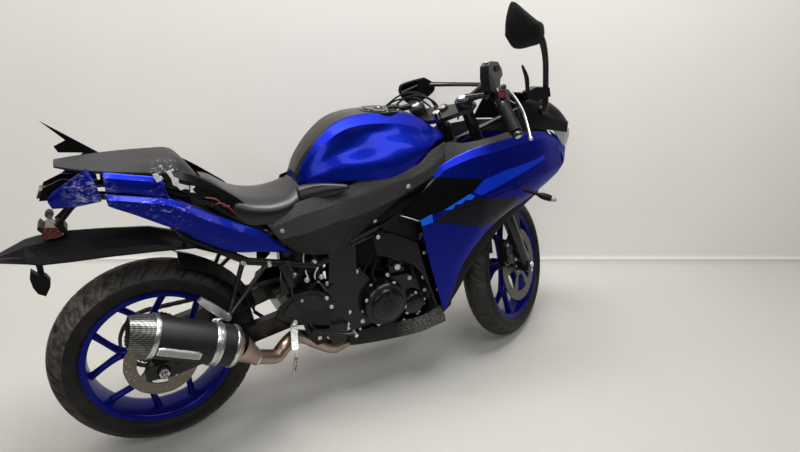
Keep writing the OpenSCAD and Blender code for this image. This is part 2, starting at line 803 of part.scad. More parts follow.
module mirrors() {
    color("#151516") park() {
        pipe([[nose_bar_x, -112.3, nose_bar_z], [nose_bar_x, -118, nose_bar_z], [1404, -128, 966],
            [1401, -128, 1024], [1356, -146, 1180], [1320, -167, 1217]], 10, [1, 0, 0]);
        plate([[1225, 1234], [1262, 1330], [1338, 1330], [1352, 1262], [1312, 1204], [1252, 1204]], -184, -160);
        pipe([[nose_bar_x, 112.3, nose_bar_z], [nose_bar_x, 118, nose_bar_z], [1404, 128, 966],
            [1398, 134, 1002], [1385, 158, 1014], [1297, 330, 994], [1262, 377, 988]], 10, [1, 0, 0]);
        plate([[1095, 993], [1125, 955], [1167, 938], [1267, 956], [1276, 994], [1200, 1026]], 370, 394);
    }
}

module indicators() {
    color("#1a1a1a") park() {
        both() {
            difference() {
                rod([1262, -186, 704], [1335, -250, 676], 8);
                skin(upper_grid, moved(upper_grid, [0, panel_t, 0]));
                skin(lower_grid, moved(lower_grid, [0, panel_t, 0]));
                rod([1262, -186, 704], [1230, -158, 704], 20);
            }
            rod([1318, -238, 682], [1364, -274, 666], 15);
        }
        rod([-208, 21, 774], [-222, 150, 766], 7);
        rod([-220, 132, 767], [-226, 190, 762], 14);
    }
}

module footrest_brackets() {
    outline = [[360, 592], [420, 592], [500, 540], [560, 470], [560, 380], [512, 262], [480, 262], [448, 300],
        [432, 346], [376, 356], [356, 404], [384, 480]];
    color("#161618") park() both() {
        difference() {
            plate(outline, -148, -141);
            across(405, 362, 7 + pin_gap, -160, -130);
        }
        across(550, 462, 7, -142, -plate_out - 0.2);
        across(548, 400, 7, -142, -plate_out - 0.2);
    }
}

peg_root = [405, -152, 362];
peg_tip = [372, -262, 336];

module footrests() {
    color("#b9b9bd") park() both() {
        rod(peg_root, peg_tip, 11);
        rod(peg_tip - [-2, -6, 4], peg_tip - [22, -6, 92], 4);
        across(405, 362, 7, -156, -139);
    }
}

module pillion_footrests() {
    color("#17171a") park() both() difference() {
        union() {
            bar([276, -110, 607], hanger + [1, 0, 4], 16);
            bar([352, -114, 588], hanger + [5, 1, 0], 16);
            rod(hanger, hanger_end, hanger_r);
            rod(hanger_end, pillion_peg_tip, pillion_peg_r);
        }
        rod(lower_rail[2], lower_rail[1], rail_r + seat_gap, 20);
        rod(lower_rail[2], lower_rail[3], rail_r + seat_gap, 20);
    }
}

module foot_levers() {
    color("#1c1c1e") park() {
        // Brake pedal and its cylinder on the right
        rod([470, -158, 330], [604, -184, 292], 7);
        across(470, 330, 9, -170, -148.2);
        rod([384, -164, 588], [410, -164, 470], 13);
        across(396, 540, 7, -162, -148.2);
        // Gear lever on the left
        rod([470, 158, 330], [610, 184, 300], 7);
        across(470, 330, 9, 148.2, 170);
    }
}

// ---- Steering ----

// Bore in the foot of the stem, for a front paddock stand
stem_bore_r = 8;
stem_bore_depth = 60;
clamp_low = [790, 818];
clamp_high = [1040, 1056];
// Distance up a fork leg, from the axle, of a height along the steering axis
function leg_t(s) = s - (front_axle - P0) * U;
leg_top_t = leg_t(1090);
collar = [leg_t(clamp_high[1] + 0.3), leg_t(1086)];
bar_l = [[1057, leg_y, 1000], [1040, 150, 1002], [960, 345, 985]];
bar_r = [[1057, -leg_y, 1000], [1100, -206, 1000], [1036, -288, 860]];
function leg(side, t) = front_axle + [0, side * leg_y, 0] + U * t;

module clamp_plate(s0, s1) {
    translate(P0)
        rotate([0, -caster, 0])
            translate([0, 0, s0])
                linear_extrude(height = s1 - s0)
                    polygon([[-28, -30], [-28, 30], [12, leg_y + 14], [26, leg_y + 32], [60, leg_y + 32],
                        [70, leg_y], [70, -leg_y], [60, -leg_y - 32], [26, -leg_y - 32], [12, -leg_y - 14]]);
}

module triple_clamps() {
    color("#8d8d90") park() steered() {
        difference() {
            union() {
                clamp_plate(clamp_low[0], clamp_low[1]);
                clamp_plate(clamp_high[0], clamp_high[1]);
                rod(on_axis(clamp_low[0] + 2), on_axis(clamp_high[1] + 14), stem_r);
            }
            for (side = [-1, 1])
                rod(leg(side, -30), leg(side, leg_top_t), 20.5 + pin_gap, 40);
            rod(on_axis(clamp_low[0] - 1), on_axis(clamp_low[0] + stem_bore_depth), stem_bore_r);
        }
    }
}

module fork_legs() {
    color("#2b2b2e") park() steered() {
        both() {
            rod(leg(-1, 0), leg(-1, leg_top_t), 20.5);
            rod(leg(-1, -28), leg(-1, 330), slider_r);
            across(front_axle.x, front_axle.z, 27, -leg_y - 26, -leg_y + slider_r);
        }
        across(front_axle.x, front_axle.z, front_axle_r, -leg_y - 34, leg_y + 34);
    }
}

module perch_r(gap) {
    rod(bar_r[1] + [0, 20, 0], bar_r[1] + [46, -6, 16], 12 + gap);
}

module perch_l(gap) {
    rod([1020, 190, 999], [1052, 204, 1006], 12 + gap);
}

module handlebars() {
    color("#232325") park() steered() {
        difference() {
            union() {
                pipe(bar_l, 11, [0, 0, 1]);
                pipe(bar_r, 11, [1, 0, 0]);
                for (side = [-1, 1])
                    rod(leg(side, collar[0]), leg(side, collar[1]), 30);
                translate(bar_r[1] + [14, 0, 4]) rotate([0, -20, 0]) cylinder(h = 74, r = 24);
                perch_r(0);
                perch_l(0);
                rod([1032, 150, 1002], [1018, 196, 999], 24);
            }
            for (side = [-1, 1])
                rod(leg(side, 600), leg(side, leg_top_t), 20.5 + pin_gap, 20);
            clamp_plate(clamp_high[0], clamp_high[1] + 0.2);
        }
    }
}

module grip(a, b) {
    difference() {
        rod(a, b, 17);
        rod(a, b, 11 + seat_gap, 4);
    }
}

module grips() {
    color("#202022") park() steered() {
        grip(bar_r[1] + (bar_r[2] - bar_r[1]) * 0.2, bar_r[2] + (bar_r[1] - bar_r[2]) * 0.02);
        grip(bar_l[1] + (bar_l[2] - bar_l[1]) * 0.38, bar_l[2] + (bar_l[1] - bar_l[2]) * 0.02);
    }
}

module hand_levers() {
    color("#c9c9cc") park() steered() {
        difference() {
            union() {
                pipe([[1140, -214, 1016], [1158, -262, 930], [1112, -300, 834]], 6, [1, 0, 0]);
                pipe([[1048, 204, 1006], [1068, 232, 1002], [1010, 345, 982]], 6, [0, 0, 1]);
            }
            perch_r(seat_gap);
            perch_l(seat_gap);
        }
    }
}

module front_mudguard() {
    r = front_r + 22;
    outer = [for (t = [1, 0.75, 0.4, 0, -0.4, -0.75, -1])
        [for (a = [196 : -12 : 52])
            let (w = 66 - (a < 76 ? (76 - a) * 1.4 : 0), d = 34 * pow(w / 66, 2) * pow(abs(t), 2.6))
            front_axle + [(r - d) * cos(a), w * t, (r - d) * sin(a)]]];
    inner = [for (row = outer) [for (p = row)
        let (q = p - front_axle, h = norm([q.x, q.z]))
        front_axle + [q.x * (h - 3) / h, q.y * 0.965, q.z * (h - 3) / h]]];
    color("#19191a") park() steered() {
        skin(outer, inner);
        both() difference() {
            rod(front_axle + [-50, -60, 286], front_axle + [-110, -leg_y, 286], 6);
            rod(leg(-1, -28), leg(-1, 330), slider_r + seat_gap);
            skin(outer, inner);
        }
    }
}

module front_caliper() {
    c = front_axle + [-96, 0, 82];
    color("#17171a") park() steered() difference() {
        union() {
            plate([[c.x - 44, c.z - 36], [c.x + 30, c.z - 60], [c.x + 54, c.z + 22], [c.x - 16, c.z + 56]],
                -88, -52);
            plate([[c.x - 20, c.z - 20], [c.x + 96, c.z - 10], [c.x + 90, c.z + 40], [c.x - 10, c.z + 30]],
                -88, -70);
        }
        across(front_axle.x, front_axle.z, front_disc_r + 6, -72, -57.2);
        rod(leg(-1, -28), leg(-1, 330), slider_r + seat_gap);
    }
}

// ---- Wheels ----

module rim(ring_r, half_w, hub_r, hub_half, bore_r, spoke_w) {
    difference() {
        union() {
            rotate([90, 0, 0]) rotate_extrude($fn = 96) polygon([[bead_r - 14, -half_w + 6],
                [bead_r - 2, -half_w], [bead_r + 7, -half_w], [bead_r + 7, -half_w + 5], [bead_r, -half_w + 7],
                [bead_r - 8, -half_w + 24], [bead_r - 8, half_w - 24], [bead_r, half_w - 7],
                [bead_r + 7, half_w - 5], [bead_r + 7, half_w], [bead_r - 2, half_w], [bead_r - 14, half_w - 6]]);
            across(0, 0, hub_r, -hub_half, hub_half);
            for (k = [0 : 4], side = [-1, 1])
                rotate([0, k * 72, 0])
                    plate([[hub_r - 8, side * 4 - 13], [hub_r - 8, side * 4 + 13],
                        [bead_r - 10, side * 36 + spoke_w], [bead_r - 10, side * 36 - spoke_w]], -14, 14);
        }
        across(0, 0, bore_r, -200, 200);
    }
}

module tyre(r, crown, half_w) {
    ring = r - crown;
    rotate([90, 0, 0]) rotate_extrude($fn = 96) difference() {
        union() {
            intersection() {
                translate([ring, 0]) circle(r = crown, $fn = 64);
                translate([ring - 6, -200]) square([200, 400]);
            }
            polygon([[bead_r + 0.5, -half_w + 7.5], [bead_r + 8, -half_w + 5.5], [bead_r + 8, -half_w - 4], [ring - 6, -crown + 0.4],
                [ring - 6, crown - 0.4], [bead_r + 8, half_w + 4], [bead_r + 8, half_w - 5.5], [bead_r + 0.5, half_w - 7.5]]);
        }
        intersection() {
            translate([ring, 0]) circle(r = crown - 11, $fn = 64);
            translate([ring - 1, -200]) square([200, 400]);
        }
        polygon([[bead_r, -half_w + 16], [ring, -crown + 12], [ring, crown - 12], [bead_r, half_w - 16]]);
    }
}

module disc(r, hole_r, t) {
    difference() {
        across(0, 0, r, -t / 2, t / 2);
        across(0, 0, hole_r, -t, t);
        for (k = [0 : 11])
            rotate([0, k * 30, 0])
                across(r - 18, 0, 7, -t, t);
    }
}

module at_front() {
    park() steered() translate(front_axle) children();
}

module at_rear() {
    park() translate(rear_axle) children();
}

module front_rim() {
    color("#2440c8") at_front() difference() {
        union() {
            rim(front_ring, front_rim_w, 34, 62, front_axle_r + pin_gap, 9);
            across(0, 0, 16, -leg_y + slider_r + 0.5, leg_y - slider_r - 0.5);
        }
        across(0, 0, front_axle_r + pin_gap, -200, 200);
    }
}

module front_tyre() {
    color("#1d1d1d") at_front() tyre(front_r, front_crown, front_rim_w);
}

module front_disc() {
    color("#8f8c84") at_front() translate([0, -64.6, 0]) disc(front_disc_r, 20, 4.5);
}

module rear_rim() {
    color("#2440c8") at_rear() difference() {
        union() {
            rim(rear_ring, rear_rim_w, 46, 78.4, rear_axle_r + pin_gap, 10);
            across(0, 0, 18, -arm_in + 9.5, arm_in - 0.5);
        }
        across(0, 0, rear_axle_r + pin_gap, -200, 200);
    }
}

module rear_tyre() {
    color("#1d1d1d") at_rear() tyre(rear_r, rear_crown, rear_rim_w);
}

module rear_disc() {
    color("#8a7660") at_rear() translate([0, -81.2, 0]) disc(rear_disc_r, 20, 5);
}

module rear_sprocket() {
    color("#6b6b6e") at_rear() translate([0, chain_y - 1.3, 0]) difference() {
        across(0, 0, 94.8, -3, 3);
        across(0, 0, 20, -4, 4);
        for (k = [0 : 4])
            rotate([0, k * 72, 0])
                across(68, 0, 16, -4, 4);
    }
}

module side_stand() {
    ankle = stand_foot - stand_dir * 14;
    color("#1b1b1c") park() difference() {
        union() {
            rod(stand_pivot - stand_axis * 9, stand_pivot + stand_axis * 9, 17);
            rod(stand_pivot, ankle, 9);
            intersection() {
                rod(ankle - stand_dir * 8, stand_foot + stand_dir * 30, 26);
                // Flat underside that lies on the floor
                translate([stand_foot.x, stand_foot.y, stand_foot.z])
                    rotate([lean, 0, 0])
                        rotate([0, -pitch, 0])
                            translate([-60, -60, 0]) cube([120, 120, 60]);
            }
        }
        rod(stand_pivot - stand_axis * 20, stand_pivot + stand_axis * 20, stand_pin_r + pin_gap);
    }
}

frame();
subframe();
engine();
radiator();
exhaust_pipe();
silencer();
swingarm();
rear_shock();
drive_chain();
rear_caliper();
rear_mudguard();
rear_hugger();
plate_bracket();
fuel_tank();
rider_seat();
pillion_seat();
tail_panels();
tail_lamp();
grab_rail();
side_covers();
right_fairing();
left_fairing();
belly_pan();
nose_cowl();
headlamps();
dash_cowl();
mirrors();
indicators();
footrest_brackets();
footrests();
pillion_footrests();
foot_levers();
triple_clamps();
fork_legs();
handlebars();
grips();
hand_levers();
front_mudguard();
front_caliper();
front_rim();
front_tyre();
front_disc();
rear_rim();
rear_tyre();
rear_disc();
rear_sprocket();
side_stand();
fuel_cap();
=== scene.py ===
import math
import random
import bpy
import bmesh
import numpy as np
from mathutils import Matrix, Vector


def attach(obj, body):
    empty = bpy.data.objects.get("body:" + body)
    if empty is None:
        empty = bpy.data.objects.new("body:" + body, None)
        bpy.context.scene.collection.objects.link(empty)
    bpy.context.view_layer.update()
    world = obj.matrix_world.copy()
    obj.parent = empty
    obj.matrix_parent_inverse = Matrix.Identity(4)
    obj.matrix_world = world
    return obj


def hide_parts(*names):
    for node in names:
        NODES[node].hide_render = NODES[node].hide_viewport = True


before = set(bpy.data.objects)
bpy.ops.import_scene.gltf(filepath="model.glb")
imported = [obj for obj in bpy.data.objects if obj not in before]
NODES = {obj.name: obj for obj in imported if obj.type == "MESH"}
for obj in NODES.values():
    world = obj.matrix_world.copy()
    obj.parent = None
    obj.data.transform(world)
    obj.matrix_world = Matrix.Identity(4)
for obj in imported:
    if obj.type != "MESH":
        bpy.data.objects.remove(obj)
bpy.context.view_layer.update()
random.seed(7)

# ---------------------------------------------------------------- frame of the upright bike
# Pieces are drawn in millimetres on the upright bike: x forward from the rear axle, y to the
# rider's left, z up. PARK leans and places them in the row frame; STEER also turns the bars.
MM = 0.001
AXIS_X = Vector((0.999989, 0.0, -0.00472739))
AXIS_Y = Vector((-0.00064485, 0.990653, -0.136406))
AXIS_Z = Vector((0.00468321, 0.136407, 0.990642))
ORIGIN = Vector((-0.62039, -0.14941, 0.000658))
WHEELBASE, FRONT_R, REAR_R = 1380, 296, 312  # axle to axle, tyre radii over the crown
FORK_HALF = 96  # fork leg from the middle plane
CASTER = math.radians(25.0)
TURN = math.radians(31.8)
U = Vector((-math.sin(CASTER), 0.0, math.cos(CASTER)))
P0 = Vector((1475.0, 0.0, 0.0))
PARK = Matrix([[AXIS_X[i] * MM, AXIS_Y[i] * MM, AXIS_Z[i] * MM, ORIGIN[i]] for i in range(3)] + [[0, 0, 0, 1]])
STEER = PARK @ Matrix.Translation(P0) @ Matrix.Rotation(TURN, 4, U) @ Matrix.Translation(-P0)
REAR = PARK @ Matrix.Translation((0, 0, REAR_R))
FRONT = STEER @ Matrix.Translation((WHEELBASE, 0, FRONT_R))


def link(obj):
    bpy.context.scene.collection.objects.link(obj)
    return obj


# ---------------------------------------------------------------- node helpers
M = {}  # every material by its name


class Shade:
    """A material being built: short names for the nodes that it uses."""

    def __init__(self, name, color, rough=0.5, metal=0.0, coat=0.0, coat_rough=0.05, spec=0.5):
        self.m = M[name] = bpy.data.materials.new(name)
        self.m.use_nodes = True
        self.t = self.m.node_tree
        self.p = self.t.nodes["Principled BSDF"]
        self.set("Base Color", (*color, 1.0))
        self.set("Roughness", rough)
        self.set("Metallic", metal)
        self.set("Coat Weight", coat)
        self.set("Coat Roughness", coat_rough)
        self.set("Specular IOR Level", spec)
        self.height = None

    def set(self, socket, value):
        self.p.inputs[socket].default_value = value

    def add(self, kind, **props):
        n = self.t.nodes.new(kind)
        for k, v in props.items():
            setattr(n, k, v)
        return n

    def join(self, a, b):
        self.t.links.new(a, b)

    def coords(self, scale=(1, 1, 1), rotate=(0, 0, 0)):
        c = self.add("ShaderNodeTexCoord")
        m = self.add("ShaderNodeMapping")
        m.inputs["Scale"].default_value = scale
        m.inputs["Rotation"].default_value = rotate
        self.join(c.outputs["Object"], m.inputs["Vector"])
        return m.outputs["Vector"]

    def noise(self, scale, detail=4.0, rough=0.55, vector=None, distort=0.0):
        n = self.add("ShaderNodeTexNoise")
        n.inputs["Scale"].default_value = scale
        n.inputs["Detail"].default_value = detail
        n.inputs["Roughness"].default_value = rough
        n.inputs["Distortion"].default_value = distort
        self.join(vector or self.coords(), n.inputs["Vector"])
        return n.outputs["Fac"]

    def cells(self, scale, vector=None):
        n = self.add("ShaderNodeTexVoronoi", feature="F1")
        n.inputs["Scale"].default_value = scale
        self.join(vector or self.coords(), n.inputs["Vector"])
        return n.outputs["Distance"]

    def wave(self, scale, vector):
        n = self.add("ShaderNodeTexWave", bands_direction="DIAGONAL", wave_profile="TRI")
        n.inputs["Scale"].default_value = scale
        n.inputs["Distortion"].default_value = 0.0
        self.join(vector, n.inputs["Vector"])
        return n.outputs["Fac"]

    def span(self, fac, a, b, lo=0.0, hi=1.0):
        n = self.add("ShaderNodeMapRange")
        for i, v in zip((1, 2, 3, 4), (a, b, lo, hi)):
            n.inputs[i].default_value = v
        self.join(fac, n.inputs[0])
        return n.outputs[0]

    def math(self, op, a, b=None):
        n = self.add("ShaderNodeMath", operation=op)
        for i, v in enumerate((a, b)):
            if v is None:
                continue
            if isinstance(v, (int, float)):
                n.inputs[i].default_value = v
            else:
                self.join(v, n.inputs[i])
        return n.outputs[0]

    def near(self, point, inner, outer):
        """1 within inner metres of a point of the row frame, 0 beyond outer."""
        c = self.add("ShaderNodeTexCoord")
        d = self.add("ShaderNodeVectorMath", operation="DISTANCE")
        self.join(c.outputs["Object"], d.inputs[0])
        d.inputs[1].default_value = point
        return self.span(d.outputs["Value"], inner, outer, 1.0, 0.0)

    def tint(self, fac, color):
        """Base colour goes to color where fac is 1."""
        n = self.add("ShaderNodeMix", data_type="RGBA")
        old = self.p.inputs["Base Color"]
        if old.is_linked:
            self.join(old.links[0].from_socket, n.inputs[6])
        else:
            n.inputs[6].default_value = old.default_value
        n.inputs[7].default_value = (*color, 1.0)
        self.join(fac, n.inputs[0])
        self.join(n.outputs[2], old)

    def mix_value(self, socket, fac, value):
        n = self.add("ShaderNodeMix", data_type="FLOAT")
        old = self.p.inputs[socket]
        if old.is_linked:
            self.join(old.links[0].from_socket, n.inputs[2])
        else:
            n.inputs[2].default_value = old.default_value
        n.inputs[3].default_value = value
        self.join(fac, n.inputs[0])
        self.join(n.outputs[0], old)

    def bump(self, height, strength=0.3, distance=0.001):
        n = self.add("ShaderNodeBump")
        n.inputs["Strength"].default_value = strength
        n.inputs["Distance"].default_value = distance
        self.join(height, n.inputs["Height"])
        if self.height is not None:
            self.join(self.height.outputs[0], n.inputs["Normal"])
        self.join(n.outputs[0], self.p.inputs["Normal"])
        self.height = n

    def dust(self, color, amount=0.3, scale=9.0):
        self.tint(self.span(self.noise(scale, 6, 0.65), 0.45, 0.8, 0.0, amount), color)


def paint(name, color, flake=0.10, metal=0.75, rough=0.34):
    s = Shade(name, color, rough, metal, 0.14, 0.04, 0.3)
    s.set("Specular Tint", (0.15, 0.22, 0.9, 1.0))
    flakes = s.cells(2600)
    s.tint(s.span(flakes, 0.0, 0.55, flake, 0.0), (0.04, 0.08, 0.9))
    s.tint(s.span(s.noise(5, 3), 0.4, 0.75, 0.0, 0.22), tuple(c * 0.45 for c in color))
    s.bump(flakes, 0.04, 0.0004)
    s.bump(s.noise(38, 2), 0.012, 0.002)
    return s


# Clear-coated blue of the tank, with fine scratches
blue = paint("paint_blue", (0.004, 0.014, 0.32), 0.07)
scratch_map = blue.coords((9, 9, 150), (0.2, 0.6, 0.3))
scratch = blue.span(blue.noise(26, 8, 0.7, scratch_map), 0.66, 0.72)
dents = blue.math("MULTIPLY", scratch, blue.near((0.27, -0.19, 0.90), 0.02, 0.16))
blue.tint(dents, (0.45, 0.46, 0.6))

scuffed = paint("panel_blue", (0.003, 0.009, 0.22), 0.06, 0.65)
rubbed = scuffed.noise(55, 10, 0.8, scuffed.coords((1, 1, 2.2), (0.3, 0.7, 0.2)))
for place, inner, outer, limit in (
        ((-0.715, -0.13, 0.89), 0.01, 0.075, 0.50),
        ((-0.62, -0.15, 0.85), 0.01, 0.07, 0.58),
        ((-0.52, -0.16, 0.83), 0.01, 0.09, 0.56),
        ((-0.40, -0.18, 0.76), 0.02, 0.09, 0.60),
        ((0.46, -0.25, 0.75), 0.01, 0.10, 0.63)):
    patch = scuffed.math("MULTIPLY", scuffed.span(rubbed, limit, limit + 0.07),
            scuffed.near(place, inner, outer))
    scuffed.tint(patch, (0.42, 0.44, 0.62))
    scuffed.mix_value("Roughness", patch, 0.75)
    scuffed.mix_value("Metallic", patch, 0.0)
strokes = scuffed.noise(26, 8, 0.7, scuffed.coords((9, 9, 150), (0.3, 0.9, 0.5)))
strokes = scuffed.math("MULTIPLY", scuffed.span(strokes, 0.65, 0.7),
        scuffed.near((0.66, -0.18, 0.885), 0.06, 0.2))
scuffed.tint(strokes, (0.42, 0.44, 0.6))

rim = paint("rim_blue", (0.003, 0.006, 0.15), 0.05, 0.3, 0.3)
rim.set("Coat Weight", 0.12)
rim.set("Specular IOR Level", 0.12)
rim.dust((0.03, 0.03, 0.05), 0.25, 14)

# Brighter blue patches: painted highlights where the fairing paint catches the light
paint("patch_highlight_blue", (0.012, 0.14, 0.85), 0.08, 0.3, 0.3)

# Brighter blue band: a painted highlight along the fairing's lower crease
paint("band_highlight_blue", (0.006, 0.050, 0.80), 0.08, 0.5, 0.3)

gloss = Shade("panel_black", (0.002, 0.002, 0.0025), 0.16, 0.0, 0.25, 0.04, 0.14)
hair = gloss.span(gloss.noise(30, 9, 0.75, gloss.coords((6, 6, 120), (0.3, 0.9, 0.1))), 0.66, 0.7, 0.0, 0.35)
gloss.tint(hair, (0.3, 0.3, 0.31))
gloss.bump(gloss.noise(30, 2), 0.03, 0.002)

scraped = Shade("scraped_black", (0.003, 0.003, 0.0035), 0.25, 0.0, 0.15, 0.1, 0.12)
lines = scraped.span(scraped.noise(40, 9, 0.8, scraped.coords((3, 3, 18), (0.0, 0.5, 0.2))), 0.5, 0.57)
worn = scraped.math("MULTIPLY", lines, scraped.near((0.30, -0.262, 0.235), 0.05, 0.14))
scraped.tint(worn, (0.32, 0.31, 0.30))
scraped.mix_value("Roughness", worn, 0.8)

ghost = Shade("stripe_black", (0.003, 0.003, 0.007), 0.3, 0.0, 0.2, 0.08, 0.12)
dots = ghost.cells(260, ghost.coords((1, 1, 1), (0, 0.5, 0)))
ghost.tint(ghost.span(dots, 0.25, 0.3, 0.35, 0.0), (0.03, 0.033, 0.06))

grain = Shade("textured_black", (0.0055, 0.0053, 0.0055), 0.27, 0.0, 0.0, 0.1, 0.36)
pits = grain.cells(560)
grain.bump(pits, 0.8, 0.0016)
grain.bump(grain.noise(900, 2), 0.15, 0.0005)
grain.tint(grain.span(pits, 0.1, 0.6, 0.0, 0.5), (0.018, 0.0175, 0.018))

matte = Shade("matte_black", (0.006, 0.006, 0.0065), 0.42, 0.0, 0.0, 0.1, 0.11)
matte.bump(matte.noise(420, 3), 0.12, 0.0008)
matte.dust((0.020, 0.019, 0.018), 0.4, 7)

seat = Shade("seat_vinyl", (0.007, 0.007, 0.008), 0.27, 0.0, 0.0, 0.1, 0.42)
pores = seat.cells(1150)
seat.bump(pores, 0.3, 0.0006)
seat.bump(seat.noise(60, 4), 0.1, 0.002)
seat.tint(seat.span(seat.noise(6, 5), 0.42, 0.7, 0.0, 0.5), (0.012, 0.012, 0.013))

pillion = Shade("pillion_vinyl", (0.020, 0.020, 0.0215), 0.55, 0.0, 0.0, 0.1, 0.2)
pillion.bump(pillion.cells(1150), 0.3, 0.0006)
pillion.tint(pillion.span(pillion.noise(9, 6), 0.42, 0.72, 0.0, 0.6), (0.040, 0.040, 0.041))
edge = pillion.math("MULTIPLY", pillion.span(pillion.noise(90, 8, 0.8), 0.54, 0.6),
        pillion.near((-0.515, -0.125, 0.914), 0.015, 0.05))
pillion.tint(edge, (0.5, 0.5, 0.5))

tyre = Shade("tyre_rubber", (0.010, 0.0098, 0.0096), 0.5, 0.0, 0.0, 0.1, 0.14)
tyre.dust((0.040, 0.037, 0.034), 0.6, 11)
tyre.bump(tyre.noise(300, 4), 0.15, 0.001)

grip_rubber = Shade("grip_rubber", (0.008, 0.008, 0.0085), 0.45, 0.0, 0.0, 0.1, 0.15)
grip_rubber.bump(grip_rubber.cells(700), 0.4, 0.0008)
grip_rubber.dust((0.04, 0.039, 0.037), 0.4, 30)


def coated(name, color, rough=0.38, metal=0.0, dust=0.25):
    s = Shade(name, color, rough, metal, 0.22, 0.08, 0.22)
    s.bump(s.noise(60, 5, 0.7), 0.35, 0.0016)
    s.dust((0.022, 0.021, 0.019), dust, 16)


coated("frame_black", (0.005, 0.005, 0.0055), 0.27)
coated("engine_black", (0.0045, 0.0045, 0.005), 0.26, 0.0, 0.3)
coated("radiator_black", (0.006, 0.006, 0.0065), 0.5, 0.0, 0.4)
coated("caliper_black", (0.006, 0.006, 0.0063), 0.3)
coated("fork_black", (0.007, 0.007, 0.0075), 0.25)


def metal(name, color, rough, stretch=(1, 1, 1), scale=300, dirt=0.3, dirt_color=(0.08, 0.07, 0.06)):
    s = Shade(name, color, rough, 1.0)
    lines = s.noise(scale, 4, 0.6, s.coords(stretch))
    s.bump(lines, 0.12, 0.0006)
    s.mix_value("Roughness", s.span(lines, 0.35, 0.7), min(1.0, rough + 0.22))
    s.dust(dirt_color, dirt, 18)
    return s


metal("alloy_silver", (0.70, 0.70, 0.71), 0.3, dirt=0.03)
metal("bolt_steel", (0.72, 0.72, 0.73), 0.22, dirt=0.2)
metal("disc_steel", (0.16, 0.15, 0.14), 0.34, scale=420, dirt=0.3)
metal("rotor_bronze", (0.19, 0.168, 0.14), 0.32, scale=420, dirt=0.35, dirt_color=(0.07, 0.05, 0.035))
metal("chain_steel", (0.13, 0.12, 0.10), 0.45, dirt=0.6, dirt_color=(0.03, 0.025, 0.02))
metal("plate_blank", (0.34, 0.34, 0.34), 0.4, dirt=0.2)
metal("can_ring", (0.58, 0.575, 0.56), 0.2, dirt=0.25)
bronze = metal("exhaust_bronze", (0.33, 0.245, 0.195), 0.26, dirt=0.3, dirt_color=(0.10, 0.07, 0.055))
bronze.tint(bronze.span(bronze.noise(7, 3), 0.4, 0.65, 0.0, 0.7), (0.42, 0.36, 0.31))

can = Shade("can_black", (0.010, 0.010, 0.0105), 0.34, 0.5)
brushed = can.noise(60, 6, 0.7, can.coords((2.5, 40, 40), (0, 0.446, 0)))
can.bump(brushed, 0.25, 0.0008)
can.mix_value("Roughness", can.span(brushed, 0.35, 0.65), 0.6)
can.tint(can.span(brushed, 0.5, 0.75, 0.0, 0.5), (0.045, 0.045, 0.046))


def woven(name, dark, light, size, coat, rough, tilt=0.446):
    """Diagonal two-by-two cloth look of a carbon cover."""
    s = Shade(name, dark, rough, 0.55, coat, 0.06)
    v = s.coords((1, 1, 1), (0.0, tilt, 0.0))
    a = s.wave(size, v)
    w = s.coords((1, 1, -1), (0.0, tilt, 0.0))
    b = s.wave(size, w)
    cross = s.math("MULTIPLY", s.span(a, 0.35, 0.65), s.span(b, 0.35, 0.65, 0.4, 1.0))
    s.tint(cross, light)
    s.bump(a, 0.25, 0.0006)


woven("carbon_silver", (0.010, 0.010, 0.0105), (0.20, 0.20, 0.197), 75, 0.3, 0.3)
woven("carbon_black", (0.004, 0.004, 0.0045), (0.018, 0.018, 0.0195), 60, 0.15, 0.3, 0.0)

lens = Shade("lamp_clear", (0.30, 0.31, 0.31), 0.1, 0.0, 0.8, 0.03)
lens.bump(lens.noise(20, 2), 0.05, 0.002)
red = Shade("lamp_red", (0.06, 0.002, 0.004), 0.16, 0.0, 0.5, 0.05)
facets = red.cells(130)
red.bump(facets, 0.6, 0.003)
red.tint(red.span(facets, 0.0, 0.5, 0.5, 0.0), (0.13, 0.006, 0.010))
wire_insulation = Shade("wire_red", (0.17, 0.012, 0.022), 0.35, 0.0, 0.3)
wire_insulation.dust((0.05, 0.04, 0.04), 0.4, 60)
white = Shade("torn_white", (0.62, 0.62, 0.63), 0.6)
white.bump(white.noise(300, 5), 0.4, 0.001)
white.dust((0.2, 0.2, 0.21), 0.6, 60)
glass = Shade("mirror_glass", (0.32, 0.36, 0.42), 0.03, 1.0)
glass.bump(glass.noise(5, 1), 0.01, 0.001)
# Near-black without detail: painted shade inside hollows and behind the frame
shade_fill = Shade("painted_shade_black", (0.004, 0.004, 0.004), 0.9)
shade_fill.bump(shade_fill.noise(200, 2), 0.1, 0.001)

# ---------------------------------------------------------------- mesh helpers
def finish_piece(me, name, mats, body, place=PARK, smooth=40, node=None, slot=None, bevel=0.0, segments=2):
    """Puts a mesh drawn in millimetres in the row frame, with its materials, and lets it ride on body."""
    me.transform(place)
    if place.determinant() < 0:
        me.flip_normals()
    for m in (mats if isinstance(mats, (list, tuple)) else [mats]):
        me.materials.append(M[m])
    me.shade_smooth()
    me.set_sharp_from_angle(angle=math.radians(smooth))
    obj = link(bpy.data.objects.new(name, me))
    if bevel:
        b = obj.modifiers.new("edges", "BEVEL")
        b.width = bevel * MM
        b.segments = segments
        b.limit_method = "ANGLE"
        b.angle_limit = math.radians(38)
        b.harden_normals = True
    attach(obj, body)
    if node:
        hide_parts(*([node] if isinstance(node, str) else node))
    return obj


def spline(points, n, sharp=()):
    """Catmull-Rom through the points, n steps a span; straight ends at the indices in sharp."""
    p = np.asarray(points, float)
    k = len(p)
    out = []
    for i in range(k - 1):
        a, b = p[i], p[i + 1]
        ta = b - a if i == 0 or i in sharp else (b - p[i - 1]) / 2
        tb = b - a if i == k - 2 or i + 1 in sharp else (p[i + 2] - a) / 2
        for s in range(n):
            t = s / n
            out.append((2 * t ** 3 - 3 * t ** 2 + 1) * a + (t ** 3 - 2 * t ** 2 + t) * ta
                       + (-2 * t ** 3 + 3 * t ** 2) * b + (t ** 3 - t ** 2) * tb)
    out.append(p[-1])
    return np.array(out)


